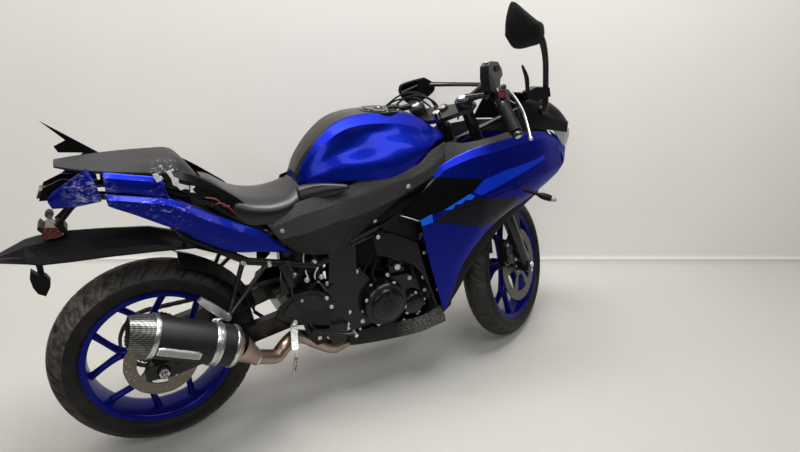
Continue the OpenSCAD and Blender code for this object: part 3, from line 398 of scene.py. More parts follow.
def dense(grid, n_row, n_col, sharp_rows=(), sharp_cols=()):
    """Smooth grid of points through a coarse one."""
    g = np.asarray(grid, float)
    cols = np.array([spline(row, n_col, sharp_cols) for row in g])
    return np.array([spline(cols[:, j], n_row, sharp_rows) for j in range(cols.shape[1])]).transpose(1, 0, 2)


def grid_mesh(name, g, closed=False):
    m, n = g.shape[:2]
    faces = []
    for i in range(m - 1):
        for j in range(n if closed else n - 1):
            k = (j + 1) % n
            faces.append((i * n + j, (i + 1) * n + j, (i + 1) * n + k, i * n + k))
    me = bpy.data.meshes.new(name)
    me.from_pydata([tuple(p) for p in g.reshape(-1, 3)], [], faces)
    return me


def inside(x, z, poly):
    hit = False
    for (xa, za), (xb, zb) in zip(poly, poly[1:] + poly[:1]):
        if (za > z) != (zb > z) and x < (xb - xa) * (z - za) / (zb - za) + xa:
            hit = not hit
    return hit


def stencil(me, shapes):
    """Cuts side-view outlines [(x, z), ...] into a mesh and gives their faces a material index."""
    bm = bmesh.new()
    bm.from_mesh(me)
    for poly, _ in shapes:
        lo = (min(p[0] for p in poly) - 1, min(p[1] for p in poly) - 1)
        hi = (max(p[0] for p in poly) + 1, max(p[1] for p in poly) + 1)
        for (xa, za), (xb, zb) in zip(poly, poly[1:] + poly[:1]):
            faces = [f for f in bm.faces if any(lo[0] <= v.co.x <= hi[0] and lo[1] <= v.co.z <= hi[1] for v in f.verts)]
            geom = faces + list({e for f in faces for e in f.edges}) + list({v for f in faces for v in f.verts})
            bmesh.ops.bisect_plane(bm, geom=geom, plane_co=(xa, 0, za), plane_no=(zb - za, 0, xa - xb),
                    dist=1e-4)
    for poly, index in shapes:
        for f in bm.faces:
            c = f.calc_center_median()
            if inside(c.x, c.z, poly):
                f.material_index = index
    bm.to_mesh(me)
    bm.free()


def panel(name, grid, mats, node=None, slot=None, t=3.0, body="chassis", place=PARK, mirror=False, steps=(6, 6),
        sharp_rows=(), sharp_cols=(), shapes=(), smooth=34, edge=0.8):
    """Moulded panel through a grid of points; rows go down, columns forward, thickness goes inwards."""
    g = dense(grid, steps[0], steps[1], sharp_rows, sharp_cols)
    me = grid_mesh(name, g)
    if shapes:
        stencil(me, shapes)
    if mirror:
        place = place @ Matrix.Diagonal((1, -1, 1, 1))
    obj = finish_piece(me, name, mats, body, place, smooth, node, slot)
    wall = obj.modifiers.new("wall", "SOLIDIFY")
    wall.thickness = t * MM
    wall.offset = -1.0
    wall.use_even_offset = False
    if edge:
        b = obj.modifiers.new("rim", "BEVEL")
        b.width = edge * MM
        b.segments = 2
        b.limit_method = "ANGLE"
        b.angle_limit = math.radians(60)
    return obj


def sweep(points, radii, sides=14, steps=5, sharp=(), squash=1.0, flat=None):
    """Vertices and faces of a round bar that follows a smooth path; radii may be one number."""
    if isinstance(radii, (int, float)):
        radii = [radii] * len(points)
    p = spline([(*q, r) for q, r in zip(points, radii)], steps, sharp)
    path, rad = p[:, :3], p[:, 3]
    t = np.gradient(path, axis=0)
    t /= np.linalg.norm(t, axis=1)[:, None]
    side = np.array(flat if flat is not None else (0.0, 1.0, 0.0))
    if abs(t[0] @ side) > 0.9:
        side = np.array((1.0, 0.0, 0.3))
    verts, faces = [], []
    e = side - (side @ t[0]) * t[0]
    for i in range(len(path)):
        e = e - (e @ t[i]) * t[i]
        e /= np.linalg.norm(e)
        g = np.cross(t[i], e)
        for k in range(sides):
            a = 2 * math.pi * k / sides
            verts.append(path[i] + rad[i] * (math.cos(a) * e + squash * math.sin(a) * g))
    n = len(path)
    for i in range(n - 1):
        for k in range(sides):
            j = (k + 1) % sides
            faces.append((i * sides + k, i * sides + j, (i + 1) * sides + j, (i + 1) * sides + k))
    faces.append(tuple(range(sides - 1, -1, -1)))
    faces.append(tuple((n - 1) * sides + k for k in range(sides)))
    return verts, faces


def turned(profile, centre=(0, 0, 0), axis=(0, 1, 0), segments=48, start=0.0, sweep_angle=360.0):
    """Profile [(radius, distance along axis), ...] turned about an axis."""
    a = Vector(axis).normalized()
    e = a.orthogonal().normalized()
    g = a.cross(e)
    c = Vector(centre)
    verts, faces = [], []
    closed = sweep_angle >= 360
    count = segments if closed else segments + 1
    for k in range(count):
        w = math.radians(start + sweep_angle * k / segments)
        d = e * math.cos(w) + g * math.sin(w)
        verts += [c + d * r + a * h for r, h in profile]
    m = len(profile)
    for k in range(segments):
        q = (k + 1) % count
        for i in range(m - 1):
            faces.append((k * m + i, k * m + i + 1, q * m + i + 1, q * m + i))
    return verts, faces


def prism(outline, y0, y1, plane="xz"):
    """Outline in a side plane, from y0 to y1."""
    n = len(outline)
    if plane == "xz":
        verts = [(x, y0, z) for x, z in outline] + [(x, y1, z) for x, z in outline]
    else:
        verts = [(x, y, y0) for x, y in outline] + [(x, y, y1) for x, y in outline]
    faces = [tuple(range(n)), tuple(range(2 * n - 1, n - 1, -1))]
    faces += [(i, i + n, (i + 1) % n + n, (i + 1) % n) for i in range(n)]
    return verts, faces


def box(a, b):
    (xa, ya, za), (xb, yb, zb) = a, b
    return prism([(xa, za), (xb, za), (xb, zb), (xa, zb)], ya, yb)


BOX_FACES = [(0, 1, 2, 3), (7, 6, 5, 4), (0, 4, 5, 1), (1, 5, 6, 2), (2, 6, 7, 3), (3, 7, 4, 0)]


def square_bar(origin, along, side, up, sections):
    """Bar of four square sections [(distance, half width, half height), ...], closed at both ends."""
    verts = [tuple(origin + along * t + side * (a * sx) + up * (h * sz)) for t, a, h in sections for sx,
            sz in ((-1, -1), (1, -1), (1, 1), (-1, 1))]
    faces = []
    for i in range(3):
        for j in range(4):
            k = (j + 1) % 4
            faces.append((i * 4 + j, i * 4 + k, i * 4 + 4 + k, i * 4 + 4 + j))
    return verts, faces + [(3, 2, 1, 0), (12, 13, 14, 15)]


class Kit:
    def __init__(self, usual=None):
        self.v, self.f, self.i, self.mats = [], [], [], []
        self.usual = usual

    def add(self, shape, mat=None, move=None):
        verts, faces = shape
        mat = mat or self.usual
        if mat not in self.mats:
            self.mats.append(mat)
        n = len(self.v)
        for p in verts:
            p = Vector(p)
            self.v.append(tuple(move @ p if move is not None else p))
        self.f += [tuple(k + n for k in f) for f in faces]
        self.i += [self.mats.index(mat)] * len(faces)
        return self

    def both(self, shape, mat):
        self.add(shape, mat)
        return self.add(shape, mat, Matrix.Diagonal((1, -1, 1, 1)))

    def bolt(self, at, out, r=5.0, h=4.0, mat="bolt_steel"):
        """Socket screw with a washer, its head standing out along out."""
        o = Vector(out).normalized()
        self.add(turned([(0, h - 2.2), (r * 0.45, h - 2.2), (r * 0.5, h), (r * 0.85, h), (r, h - 0.8), (r, 0.8),
                (r * 1.5, 0.8), (r * 1.5, -1.0)], at, o, 12), mat)
        return self

    def build(self, name, body="chassis", place=PARK, **kw):
        me = bpy.data.meshes.new(name)
        me.from_pydata(self.v, [], self.f)
        bm = bmesh.new()
        bm.from_mesh(me)
        for face, index in zip(bm.faces, self.i):
            face.material_index = index
        bmesh.ops.recalc_face_normals(bm, faces=bm.faces)
        bm.to_mesh(me)
        bm.free()
        return finish_piece(me, name, self.mats, body, place, **kw)


def repaint(node, mat, bevel=1.2):
    """A CAD node that keeps its own mesh gets a finished material and softened edges."""
    o = NODES[node]
    o.data.materials.clear()
    o.data.materials.append(M[mat])
    if bevel:
        b = o.modifiers.new("edges", "BEVEL")
        b.width = bevel * MM
        b.segments = 2
        b.limit_method = "ANGLE"
        b.angle_limit = math.radians(40)
        b.use_clamp_overlap = True
    return o

# ---------------------------------------------------------------- camera, stage and light
YAW, PITCH, ROLL = math.radians(61.29), math.radians(28.61), math.radians(2.97)
CAMERA_AT = Vector((-0.67376, -1.77179, 1.61589))
FOCAL_PX, PHOTO_W, PHOTO_H, SENSOR = 603.37, 800, 452, 36  # camera solved from the photo
look = Vector((math.cos(YAW) * math.cos(PITCH), math.sin(YAW) * math.cos(PITCH), -math.sin(PITCH)))
level = Vector((math.sin(YAW), -math.cos(YAW), 0))
upward = level.cross(look)
right = math.cos(ROLL) * level + math.sin(ROLL) * upward
above = right.cross(look)
cam_data = bpy.data.cameras.new("camera")
cam_data.lens = FOCAL_PX * SENSOR / PHOTO_W
cam_data.sensor_width = SENSOR
cam_data.clip_start = 0.05
cam = link(bpy.data.objects.new("camera", cam_data))
cam.matrix_world = Matrix([[right[i], above[i], -look[i], CAMERA_AT[i]] for i in range(3)] + [[0, 0, 0, 1]])
bpy.context.scene.camera = cam


def on_floor(px, py):
    """Floor point behind a pixel of the photo."""
    d = (look + right * ((px - PHOTO_W / 2) / FOCAL_PX) - above * ((py - PHOTO_H / 2) / FOCAL_PX)).normalized()
    return CAMERA_AT + d * (-CAMERA_AT.z / d.z)


def stage_material(name, color, rough, bump):
    s = Shade(name, color, rough, 0.0, 0.0, 0.1, 0.35)
    s.tint(s.span(s.noise(1.3, 6, 0.6), 0.35, 0.75, 0.0, 0.28), tuple(c * 0.86 for c in color))
    s.bump(s.noise(90, 5), bump, 0.002)


stage_material("floor_paint", (0.47, 0.465, 0.44), 0.42, 0.05)
stage_material("wall_paint", (0.82, 0.80, 0.765), 0.9, 0.02)


def clear_from_behind(mat):
    """Camera rays that meet the wall's outer side pass through it, so the part can be looked at from there too."""
    t = mat.node_tree
    out = t.nodes["Material Output"]
    solid = out.inputs["Surface"].links[0].from_socket
    geometry, path = t.nodes.new("ShaderNodeNewGeometry"), t.nodes.new("ShaderNodeLightPath")
    both = t.nodes.new("ShaderNodeMath")
    both.operation = "MULTIPLY"
    clear, mix = t.nodes.new("ShaderNodeBsdfTransparent"), t.nodes.new("ShaderNodeMixShader")
    for a, b in (
            (geometry.outputs["Backfacing"], both.inputs[0]),
            (path.outputs["Is Camera Ray"], both.inputs[1]),
            (both.outputs[0], mix.inputs[0]),
            (solid, mix.inputs[1]),
            (clear.outputs[0], mix.inputs[2]),
            (mix.outputs[0], out.inputs["Surface"])):
        t.links.new(a, b)


clear_from_behind(M["wall_paint"])
foot_a, foot_b = on_floor(120, 262.5), on_floor(790, 262.5)
wall_dir = (foot_b - foot_a).normalized()
wall_in = Vector((wall_dir.y, -wall_dir.x, 0))
WALL_R, FLOOR_DROP = 0.05, 0.0006
rows = []
for d, h in [(14.0, 0.0), (6.0, 0.0), (3.0, 0.0), (1.2, 0.0), (WALL_R,
        0.0)] + [(WALL_R - WALL_R * math.sin(math.radians(a)),
        WALL_R - WALL_R * math.cos(math.radians(a))) for a in (30, 60, 90)] + [(0.0, 3.0), (0.0, 7.0)]:
    rows.append([tuple(foot_a + wall_dir * s + wall_in * d + Vector((0, 0, h - FLOOR_DROP))) for s in (-14, -4,
            0, 4, 8, 18)])
me = grid_mesh("studio", np.array(rows))
me.materials.append(M["floor_paint"])
me.materials.append(M["wall_paint"])
for poly in me.polygons:
    poly.material_index = 1 if poly.center.z > 0.03 else 0
me.flip_normals()
me.shade_smooth()
studio = link(bpy.data.objects.new("studio", me))


def lamp(name, at, size, watts, target=(0, 0, 0.5), color=(1, 0.985, 0.96)):
    data = bpy.data.lights.new(name, "AREA")
    data.shape = "RECTANGLE"
    data.size, data.size_y = size
    data.energy = watts
    data.color = color
    o = link(bpy.data.objects.new(name, data))
    o.location = at
    o.rotation_euler = (Vector(target) - Vector(at)).to_track_quat("-Z", "Y").to_euler()


lamp("overhead", (0.5, 0.2, 3.5), (2.0, 1.3), 150, (0.0, 0.0, 0.4))
lamp("window", (-2.6, -3.2, 3.0), (2.6, 1.6), 40, (0.1, -0.1, 0.6))
lamp("strip", (0.9, -2.4, 3.4), (3.0, 1.0), 44, (0.3, -0.1, 0.7))
lamp("back", (-1.3, 0.9, 3.4), (3.0, 0.8), 84, (-0.7, 2.6, 2.1))
world = bpy.data.worlds.new("world")
bpy.context.scene.world = world
world.use_nodes = True
world.node_tree.nodes["Background"].inputs["Color"].default_value = (0.93, 0.94, 1.0, 1)
world.node_tree.nodes["Background"].inputs["Strength"].default_value = 0.08
wt = world.node_tree
pale, seen = wt.nodes.new("ShaderNodeBackground"), wt.nodes.new("ShaderNodeMixShader")
pale.inputs["Color"].default_value = (0.62, 0.61, 0.585, 1)
wt.links.new(wt.nodes.new("ShaderNodeLightPath").outputs["Is Camera Ray"], seen.inputs[0])
wt.links.new(wt.nodes["Background"].outputs[0], seen.inputs[1])
wt.links.new(pale.outputs[0], seen.inputs[2])
wt.links.new(seen.outputs[0], wt.nodes["World Output"].inputs["Surface"])
bpy.context.scene.view_settings.view_transform = "Standard"

# ---------------------------------------------------------------- fuel tank and cap
SIDES = (("right", False), ("left", True))  # name and whether the panel is mirrored
# Half sections from the crown down to the lower edge: x, then (y, z) of each line
TANK = [
    (484, (0, 838), (30, 836), (44, 826), (50, 818), (54, 811), (56, 806), (54, 800)),
    (508, (0, 884), (38, 882), (62, 866), (70, 852), (76, 838), (82, 824), (82, 809)),
    (552, (0, 936), (46, 934), (80, 912), (88, 890), (94, 868), (104, 842), (106, 812)),
    (612, (0, 982), (52, 980), (92, 958), (96, 930), (102, 898), (120, 858), (123, 812)),
    (668, (0, 1001), (54, 999), (98, 976), (95, 950), (104, 908), (132, 862), (136, 811)),
    (735, (0, 1006), (55, 1004), (100, 978), (102, 952), (122, 912), (148, 862), (147, 808)),
    (800, (0, 1004), (55, 1001), (100, 972), (112, 944), (138, 904), (153, 860), (151, 806)),
    (862, (0, 996), (54, 992), (94, 958), (112, 934), (140, 900), (150, 866), (144, 826)),
    (925, (0, 974), (50, 968), (80, 938), (98, 920), (122, 902), (132, 888), (128, 872)),
    (978, (0, 940), (42, 934), (60, 918), (70, 910), (84, 902), (92, 896), (90, 888)),
    (1030, (0, 908), (26, 905), (36, 900), (40, 896), (44, 892), (46, 888), (45, 884))]
half = np.array([[(x, -y, z) for y, z in sec] for x, *sec in TANK]).transpose(1, 0, 2)
tank_grid = dense(half, 7, 9, sharp_rows=(1, 2))
full = np.concatenate([tank_grid[:0:-1] * (1, -1, 1), tank_grid], axis=0)
me = grid_mesh("tank_shell", full)
CAP_X, CAP_TILT = 802.0, math.radians(4)
PAD_HALF, PAD_FRONT = 53, 905  # dark strip down the middle of the tank
bm = bmesh.new()
bm.from_mesh(me)
for f in bm.faces:
    c = f.calc_center_median()
    if abs(c.y) < PAD_HALF and c.x < PAD_FRONT:
        f.material_index = 1
bmesh.ops.holes_fill(bm, edges=[e for e in bm.edges if e.is_boundary], sides=0)
bmesh.ops.recalc_face_normals(bm, faces=bm.faces)
bm.to_mesh(me)
bm.free()
tank = finish_piece(me, "tank_shell", ["paint_blue", "carbon_black"], "chassis", PARK, 30, "fuel_tank",
        "paint_blue")

cap = Kit()
AT_CAP = Matrix.Translation((CAP_X, 0, 994.5)) @ Matrix.Rotation(CAP_TILT, 4, "Y")
cap.add(turned([(0, 12.6), (20, 12.6), (22, 11.6), (40, 11.6), (42, 12.3), (50, 12.3), (52, 10.5), (52, 7),
        (49, 6.6), (49, 0.4), (0, 0.4)], (0, 0, 0), (0, 0, 1), 64), "panel_black", AT_CAP)
cap.add(prism([(-14, -4), (10, -4), (10, 4), (-14, 4)], 12.4, 14.6, "xy"), "fork_black", AT_CAP)
cap.add(turned([(0, 15.2), (5, 15.2), (6, 14.4), (6, 12.4)], (-3, 0, 0), (0, 0, 1), 20), "alloy_silver", AT_CAP)
cap.add(prism([(34, -8), (62, -6), (64, 0), (62, 6), (34, 8)], 12.2, 16.5, "xy"), "fork_black", AT_CAP)
cap.build("filler_cap", "cap_lid", node="fuel_cap", bevel=0.5, slot="panel_black")
collar = Kit()
collar.add(turned([(54, 1.0), (54, 8.6), (56, 9.6), (68, 9.0), (70, 6.0), (70, 0)], (0, 0, 0), (0, 0, 1), 64),
        "fork_black", AT_CAP)
# Near-black floor of the recess under the lid: painted shade
collar.add(turned([(0, -0.6), (56, -0.6)], (0, 0, 0), (0, 0, 1), 48), "painted_shade_black", AT_CAP)
for k in range(6):
    w = math.radians(30 + 60 * k)
    collar.bolt(AT_CAP @ Vector((62 * math.cos(w), 62 * math.sin(w), 9.2)), (0, 0, 1), 2.6, 2.2)
for s in (-1, 1):
    collar.add(prism([(57, 0), (55.5, 15), (60, 20), (64.5, 15), (66, 0)], s * 9.3, s * 13), "fork_black",
            AT_CAP)
collar.build("filler_collar", slot="panel_black")
cutter_mesh = bpy.data.meshes.new("cap_recess")
hole = turned([(0, -1), (55, -1), (55, 60), (0, 60)], (0, 0, 0), (0, 0, 1), 64)
cutter_mesh.from_pydata(hole[0], [], hole[1])
cutter_mesh.transform(PARK @ AT_CAP)
cutter = link(bpy.data.objects.new("cap_recess", cutter_mesh))
cut = tank.modifiers.new("recess", "BOOLEAN")
cut.operation = "DIFFERENCE"
cut.object = cutter
cut.solver = "EXACT"
bpy.context.view_layer.update()
deps = bpy.context.evaluated_depsgraph_get()
done = bpy.data.meshes.new_from_object(tank.evaluated_get(deps))
tank.modifiers.clear()
tank.data = done
bpy.data.objects.remove(cutter)

# ---------------------------------------------------------------- seats
def padded(name, rows, mat, node):
    """Half seat cover (inner line to skirt) mirrored, closed underneath."""
    g = dense([[(x, -y, z) for x, y, z in r] for r in rows], 5, 6)
    full = np.concatenate([g[:0:-1] * (1, -1, 1), g], axis=0)
    me = grid_mesh(name, full)
    bm = bmesh.new()
    bm.from_mesh(me)
    bmesh.ops.remove_doubles(bm, verts=bm.verts, dist=0.01)
    bmesh.ops.holes_fill(bm, edges=[e for e in bm.edges if e.is_boundary], sides=0)
    bmesh.ops.recalc_face_normals(bm, faces=bm.faces)
    bmesh.ops.triangulate(bm, faces=[f for f in bm.faces if len(f.verts) > 4])
    bm.to_mesh(me)
    bm.free()
    return finish_piece(me, name, mat, "chassis", PARK, 50, node, "seat_vinyl")


SX = (198, 232, 280, 325, 385, 440, 484)
rider = padded("rider_cushion", [[(x, 0, z) for x, z in zip(SX, (868, 852, 816, 794, 783, 787, 812))],
        [(x, y, z) for x, y, z in zip(SX, (36, 52, 64, 70, 72, 70, 60), (866, 849, 812, 791, 780, 785, 806))],
        [(x, y, z) for x, y, z in zip(SX, (58, 86, 106, 113, 116, 110, 92),
        (850, 826, 796, 776, 767, 774, 790))], [(x, y, z) for x, y,
        z in zip(SX, (64, 98, 118, 124, 127, 122, 104), (822, 792, 766, 750, 744, 754, 770))],
        [(x, y, z) for x, y, z in zip(SX, (60, 94, 112, 119, 122, 118, 100),
        (778, 752, 728, 718, 716, 728, 744))]], "seat_vinyl", "rider_seat")
# Horns of the seat that run forward beside the tank
HX = (470, 505, 545, 585, 622)
for tag, s in (("right", 1), ("left", -1)):
    g = dense([[(x, -s * y, z) for x, y, z in zip(HX, (78, 86, 108, 124, 136), (806, 812, 815, 812, 806))],
            [(x, -s * y, z) for x, y, z in zip(HX, (98, 106, 122, 136, 143), (796, 804, 810, 808, 803))],
            [(x, -s * y, z) for x, y, z in zip(HX, (108, 116, 130, 142, 146), (774, 782, 790, 793, 797))],
            [(x, -s * y, z) for x, y, z in zip(HX, (102, 110, 126, 138, 143), (744, 754, 768, 778, 792))]], 4,
            5)
    me = grid_mesh("seat_horn_" + tag, g)
    horn = finish_piece(me, "seat_horn_" + tag, "seat_vinyl", "chassis", PARK, 50, None, "seat_vinyl")
    wall = horn.modifiers.new("wall", "SOLIDIFY")
    wall.thickness = 4 * MM
    wall.offset = -1.0 * s
PX = (-170, -120, -55, 10, 70, 128, 160, 190)
passenger = padded("pillion_cushion", [[(x, 0, z) for x, z in zip(PX,
        (956, 957, 957, 956, 954, 948, 918, 872))], [(x, y, z) for x, y,
        z in zip(PX, (20, 40, 52, 60, 66, 66, 54, 28), (956, 956, 955, 953, 949, 942, 912, 870))],
        [(x, y, z) for x, y, z in zip(PX, (38, 72, 88, 95, 98, 92, 74, 44),
        (954, 948, 938, 929, 921, 912, 894, 866))], [(x, y, z) for x, y,
        z in zip(PX, (38, 75, 92, 99, 102, 95, 76, 45), (950, 943, 932, 922, 914, 903, 884, 860))],
        [(x, y, z) for x, y, z in zip(PX, (30, 66, 84, 92, 94, 88, 68, 40),
        (946, 937, 925, 914, 905, 892, 872, 856))]], "pillion_vinyl", "pillion_seat")

# ---------------------------------------------------------------- side covers
COVER = [
    [(352, -112, 722), (458, -116, 766), (590, -122, 784), (700, -134, 818), (800, -146, 828), (868, -148,
        838), (920, -142, 874), (980, -132, 897)],
    [(366, -130, 702), (462, -140, 732), (580, -148, 750), (690, -152, 776), (800, -160, 796), (880, -163,
        812), (940, -158, 844), (1000, -140, 868)],
    [(386, -144, 668), (478, -156, 676), (556, -162, 694), (660, -164, 708), (790, -169, 744), (880, -169,
        780), (945, -166, 812), (1006, -146, 846)],
    [(430, -128, 614), (490, -132, 588), (560, -134, 578), (618, -135, 604), (702, -137, 656), (800, -141,
        722), (905, -146, 758), (985, -140, 824)]]
for tag, flip, node in (("right", False, None), ("left", True, "side_covers")):
    panel("side_cover_" + tag, COVER, ["textured_black"], node, "textured_black", mirror=flip,
            sharp_rows=(1, 2), sharp_cols=(2, 4), steps=(5, 7), smooth=16)
    bolts = Kit()
    side = 1 if flip else -1
    for at in ((400, 138, 690), (709, 141, 668), (823, 166, 774), (990, 146, 836)):
        bolts.bolt((at[0], side * at[1], at[2]), (0, side, 0), 5.5, 4)
    bolts.build("cover_bolts_" + tag, smooth=36)

# ---------------------------------------------------------------- fairing
UPPER = [
    [(903, -166, 793), (932, -164, 815), (978, -163, 840), (1062, -166, 866), (1158, -170, 880), (1277, -154,
        888), (1388, -127, 884), (1466, -100, 858)],
    [(893, -176, 779), (925, -177, 797), (968, -180, 818), (1062, -188, 843), (1158, -190, 853), (1279, -171,
        862), (1388, -143, 860), (1494, -102, 834)],
    [(858, -184, 745), (890, -187, 750), (950, -192, 757), (1077, -197, 774), (1158, -195, 784), (1280, -180,
        799), (1395, -150, 812), (1514, -101, 803)],
    [(783, -184, 685), (852, -201, 658), (950, -202, 676), (1077, -204, 692), (1158, -202, 704), (1290, -180,
        716), (1420, -146, 726), (1539, -97, 730)]]
LOWER = [
    [(850, -202, 657), (950, -202, 675), (1077, -204, 691), (1158, -202, 703), (1290, -180, 715), (1420, -146,
        725), (1539, -97, 729)],
    [(874, -204, 540), (950, -204, 560), (1040, -204, 590), (1126, -200, 618), (1262, -178, 655), (1396, -142,
        685), (1516, -96, 700)],
    [(914, -202, 400), (948, -202, 425), (1014, -202, 500), (1080, -196, 552), (1220, -174, 612), (1350, -138,
        640), (1470, -92, 664)],
    [(948, -194, 292), (953, -194, 290), (992, -192, 368), (1036, -190, 466), (1180, -164, 580), (1310, -130,
        616), (1440, -88, 642)]]
BLACK = [(880, 802), (1098, 766), (1045, 722), (940, 684), (850, 655), (770, 680)]
# Side-view outline of the painted highlight band
HIGHLIGHT_BAND = [(1100, 762), (1188, 781), (1341, 792), (1400, 800), (1404, 784), (1352, 774), (1190, 737), (1086, 710),
        (1056, 726)]
# Side-view outlines of the brighter blue painted highlight patches
HIGHLIGHT_PATCHES = [
    [(940, 682), (1042, 722), (1062, 712), (1048, 700), (1024, 704), (1008, 692), (984, 694), (972, 678)],
    [(843, 660), (893, 676), (896, 646), (846, 640)]]
GHOST = [(1010, 690), (1060, 706), (1290, 660), (1206, 590), (1100, 590), (900, 646), (960, 676)]
for tag, flip in SIDES:
    panel("upper_fairing_" + tag, UPPER, ["panel_blue", "panel_black", "patch_highlight_blue", "stripe_black",
            "band_highlight_blue"], tag + "_fairing", "panel_blue", mirror=flip, sharp_rows=(1, 3), steps=(7, 9),
            smooth=24, shapes=[(HIGHLIGHT_BAND, 4), (BLACK, 1), (GHOST, 3)] + [(f, 2) for f in HIGHLIGHT_PATCHES])
    panel("lower_fairing_" + tag, LOWER, ["panel_blue", "panel_black", "patch_highlight_blue", "stripe_black"], None,
            "panel_blue", mirror=flip, steps=(7, 9), smooth=24, shapes=[(GHOST, 3)] + [(f, 2) for f in HIGHLIGHT_PATCHES])
    chip = Kit()
    side = 1 if flip else -1
    chip.add(sweep([(776, side * 199, 691), (802, side * 201, 680), (841, side * 203.5, 662)], [0.8, 1.6, 1.0],
            6, 4), "torn_white")
    chip.build("chipped_edge_" + tag, smooth=60)
    # Textured inner panel between the tank and the fairing's top edge
    outer = [(x, y + 3.5, z - 2) for x, y, z in UPPER[0]]
    band = [(936, -136, 868), (962, -134, 884), (1000, -133, 894), (1062, -132, 883), (1168, -132, 890),
            (1262, -122, 898), (1372, -104, 888), (1450, -92, 876)]
    low = [(x, y + 2, z - 46) for x, y, z in band]
    panel("inner_panel_" + tag, [low, band, outer], ["textured_black"], None, "textured_black", mirror=flip,
            sharp_rows=(1,), steps=(3, 8), smooth=24)
    # Black trim below the lower edge, towards the wheel
    edge = LOWER[3][1:]
    back = [(x + dx, y + 7, z - dz) for (x, y, z), dx, dz in zip(edge, (8, 24, 36, 28, 14, 4),
            (2, 10, 24, 32, 24, 12))]
    panel("fairing_trim_" + tag, [[(x, y + 3, z + 6) for x, y, z in edge], back], ["matte_black"], None,
            "matte_black", mirror=flip, steps=(3, 8))
BELLY = [
    [(606, -122, 244), (660, -130, 262), (760, -138, 262), (880, -150, 266), (945, -168, 300)],
    [(606, -122, 222), (660, -127, 226), (760, -134, 224), (880, -145, 226), (975, -160, 250)],
    [(612, -118, 206), (660, -122, 200), (760, -127, 192), (880, -135, 190), (986, -150, 216)],
    [(690, -72, 178), (720, -76, 174), (790, -80, 170), (880, -90, 168), (976, -96, 196)],
    [(730, 0, 168), (750, 0, 166), (800, 0, 163), (880, 0, 162), (968, 0, 186)]]
for tag, flip in SIDES:
    panel("belly_" + tag, BELLY, ["scraped_black"], None if flip else "belly_pan", "panel_black", mirror=flip,
            steps=(5, 8), sharp_rows=(1, 2), smooth=24)

COWL_SIDE = [
    [(1300, -108, 985), (1345, -104, 992), (1400, -102, 970), (1480, -98, 928), (1560, -86, 887)],
    [(1288, -124, 948), (1340, -122, 946), (1400, -118, 936), (1484, -104, 906), (1562, -84, 872)],
    [(1276, -142, 899), (1350, -128, 894), (1430, -108, 882), (1492, -95, 868), (1566, -78, 850)]]
for tag, flip in SIDES:
    panel("cowl_side_" + tag, COWL_SIDE, ["matte_black"], None, "matte_black", mirror=flip, steps=(5, 6),
            smooth=26)
NOSE = [
    [(1457, -97, 876), (1504, -93, 846), (1548, -80, 804), (1582, -58, 784), (1592, 0, 780)],
    [(1512, -100, 804), (1532, -92, 790), (1556, -80, 775), (1588, -50, 765), (1598, 0, 762)],
    [(1540, -96, 729), (1552, -86, 727), (1568, -66, 722), (1590, -36, 716), (1598, 0, 712)],
    [(1450, -84, 643), (1464, -72, 648), (1480, -54, 652), (1500, -28, 657), (1508, 0, 660)]]
DASH = [
    [(1330, -104, 994), (1400, -102, 972), (1480, -98, 930), (1560, -86, 888)],
    [(1372, -78, 1000), (1430, -78, 988), (1520, -74, 940), (1584, -60, 884)],
    [(1400, 0, 1004), (1460, 0, 998), (1548, 0, 946), (1600, 0, 878)]]
LAMP = [
    [(1482, -94, 880), (1540, -84, 874), (1590, -64, 860)],
    [(1504, -92, 849), (1552, -80, 838), (1590, -64, 826)],
    [(1548, -79.5, 805), (1565, -70.5, 795), (1581, -59.5, 785.5)]]
for tag, flip in SIDES:
    panel("nose_" + tag, NOSE, ["panel_blue"], None if flip else "nose_cowl", "panel_blue", mirror=flip,
            steps=(5, 5))
    panel("headlamp_" + tag, LAMP, ["lamp_clear"], None if flip else "headlamps", "lamp_clear", mirror=flip,
            steps=(5, 5), t=6)
    panel("inner_cowl_" + tag, DASH[::-1], ["matte_black"], None if flip else "dash_cowl", "matte_black",
            mirror=flip, steps=(6, 6))

# ---------------------------------------------------------------- tail
TAIL_TOP = [
    [(-59, -94, 934), (-20, -97, 926), (14, -100, 918), (50, -102, 910), (86, -103, 898)],
    [(-59, -108, 921), (-20, -110, 913), (14, -112, 905), (50, -113, 896), (88, -112, 884)],
    [(-60, -112, 898), (-20, -114, 890), (16, -116, 880), (52, -117, 869), (94, -116, 846)],
    [(-59, -107, 881), (-20, -109, 873), (16, -111, 864), (54, -112, 852), (100, -111, 836)]]
TAIL = [
    [(-62, -106, 878), (-10, -108, 866), (50, -110, 852), (94, -112, 840), (186, -116, 788), (262, -119, 742),
        (340, -124, 696), (420, -131, 621)],
    [(-62, -120, 864), (-10, -122, 852), (50, -124, 836), (98, -126, 820), (186, -131, 764), (262, -133, 719),
        (336, -134, 676), (421, -136, 617)],
    [(-60, -118, 846), (-10, -120, 824), (54, -122, 800), (110, -124, 772), (180, -128, 724), (258, -131, 680),
        (330, -132, 648), (422, -135, 614)],
    [(-46, -110, 834), (0, -112, 808), (59, -114, 771), (120, -118, 734), (160, -120, 700), (250, -124, 648),
        (330, -128, 632), (423, -132, 611)]]
TORN = [
    [(84, -92, 914), (118, -94, 914), (150, -96, 908), (190, -98, 884), (250, -102, 836), (300, -108, 790),
        (352, -116, 706)],
    [(88, -104, 896), (120, -106, 892), (156, -108, 876), (196, -110, 846), (246, -112, 806), (292, -114, 764),
        (350, -120, 700)],
    [(96, -102, 868), (124, -104, 856), (158, -106, 832), (196, -109, 800), (244, -113, 764), (286, -116, 732),
        (346, -121, 694)]]
CORNER = [
    [(-190, -52, 884), (-140, -80, 920), (-94, -100, 952)],
    [(-200, -64, 868), (-146, -92, 890), (-78, -116, 900)],
    [(-194, -56, 842), (-140, -82, 846), (-74, -108, 858)]]
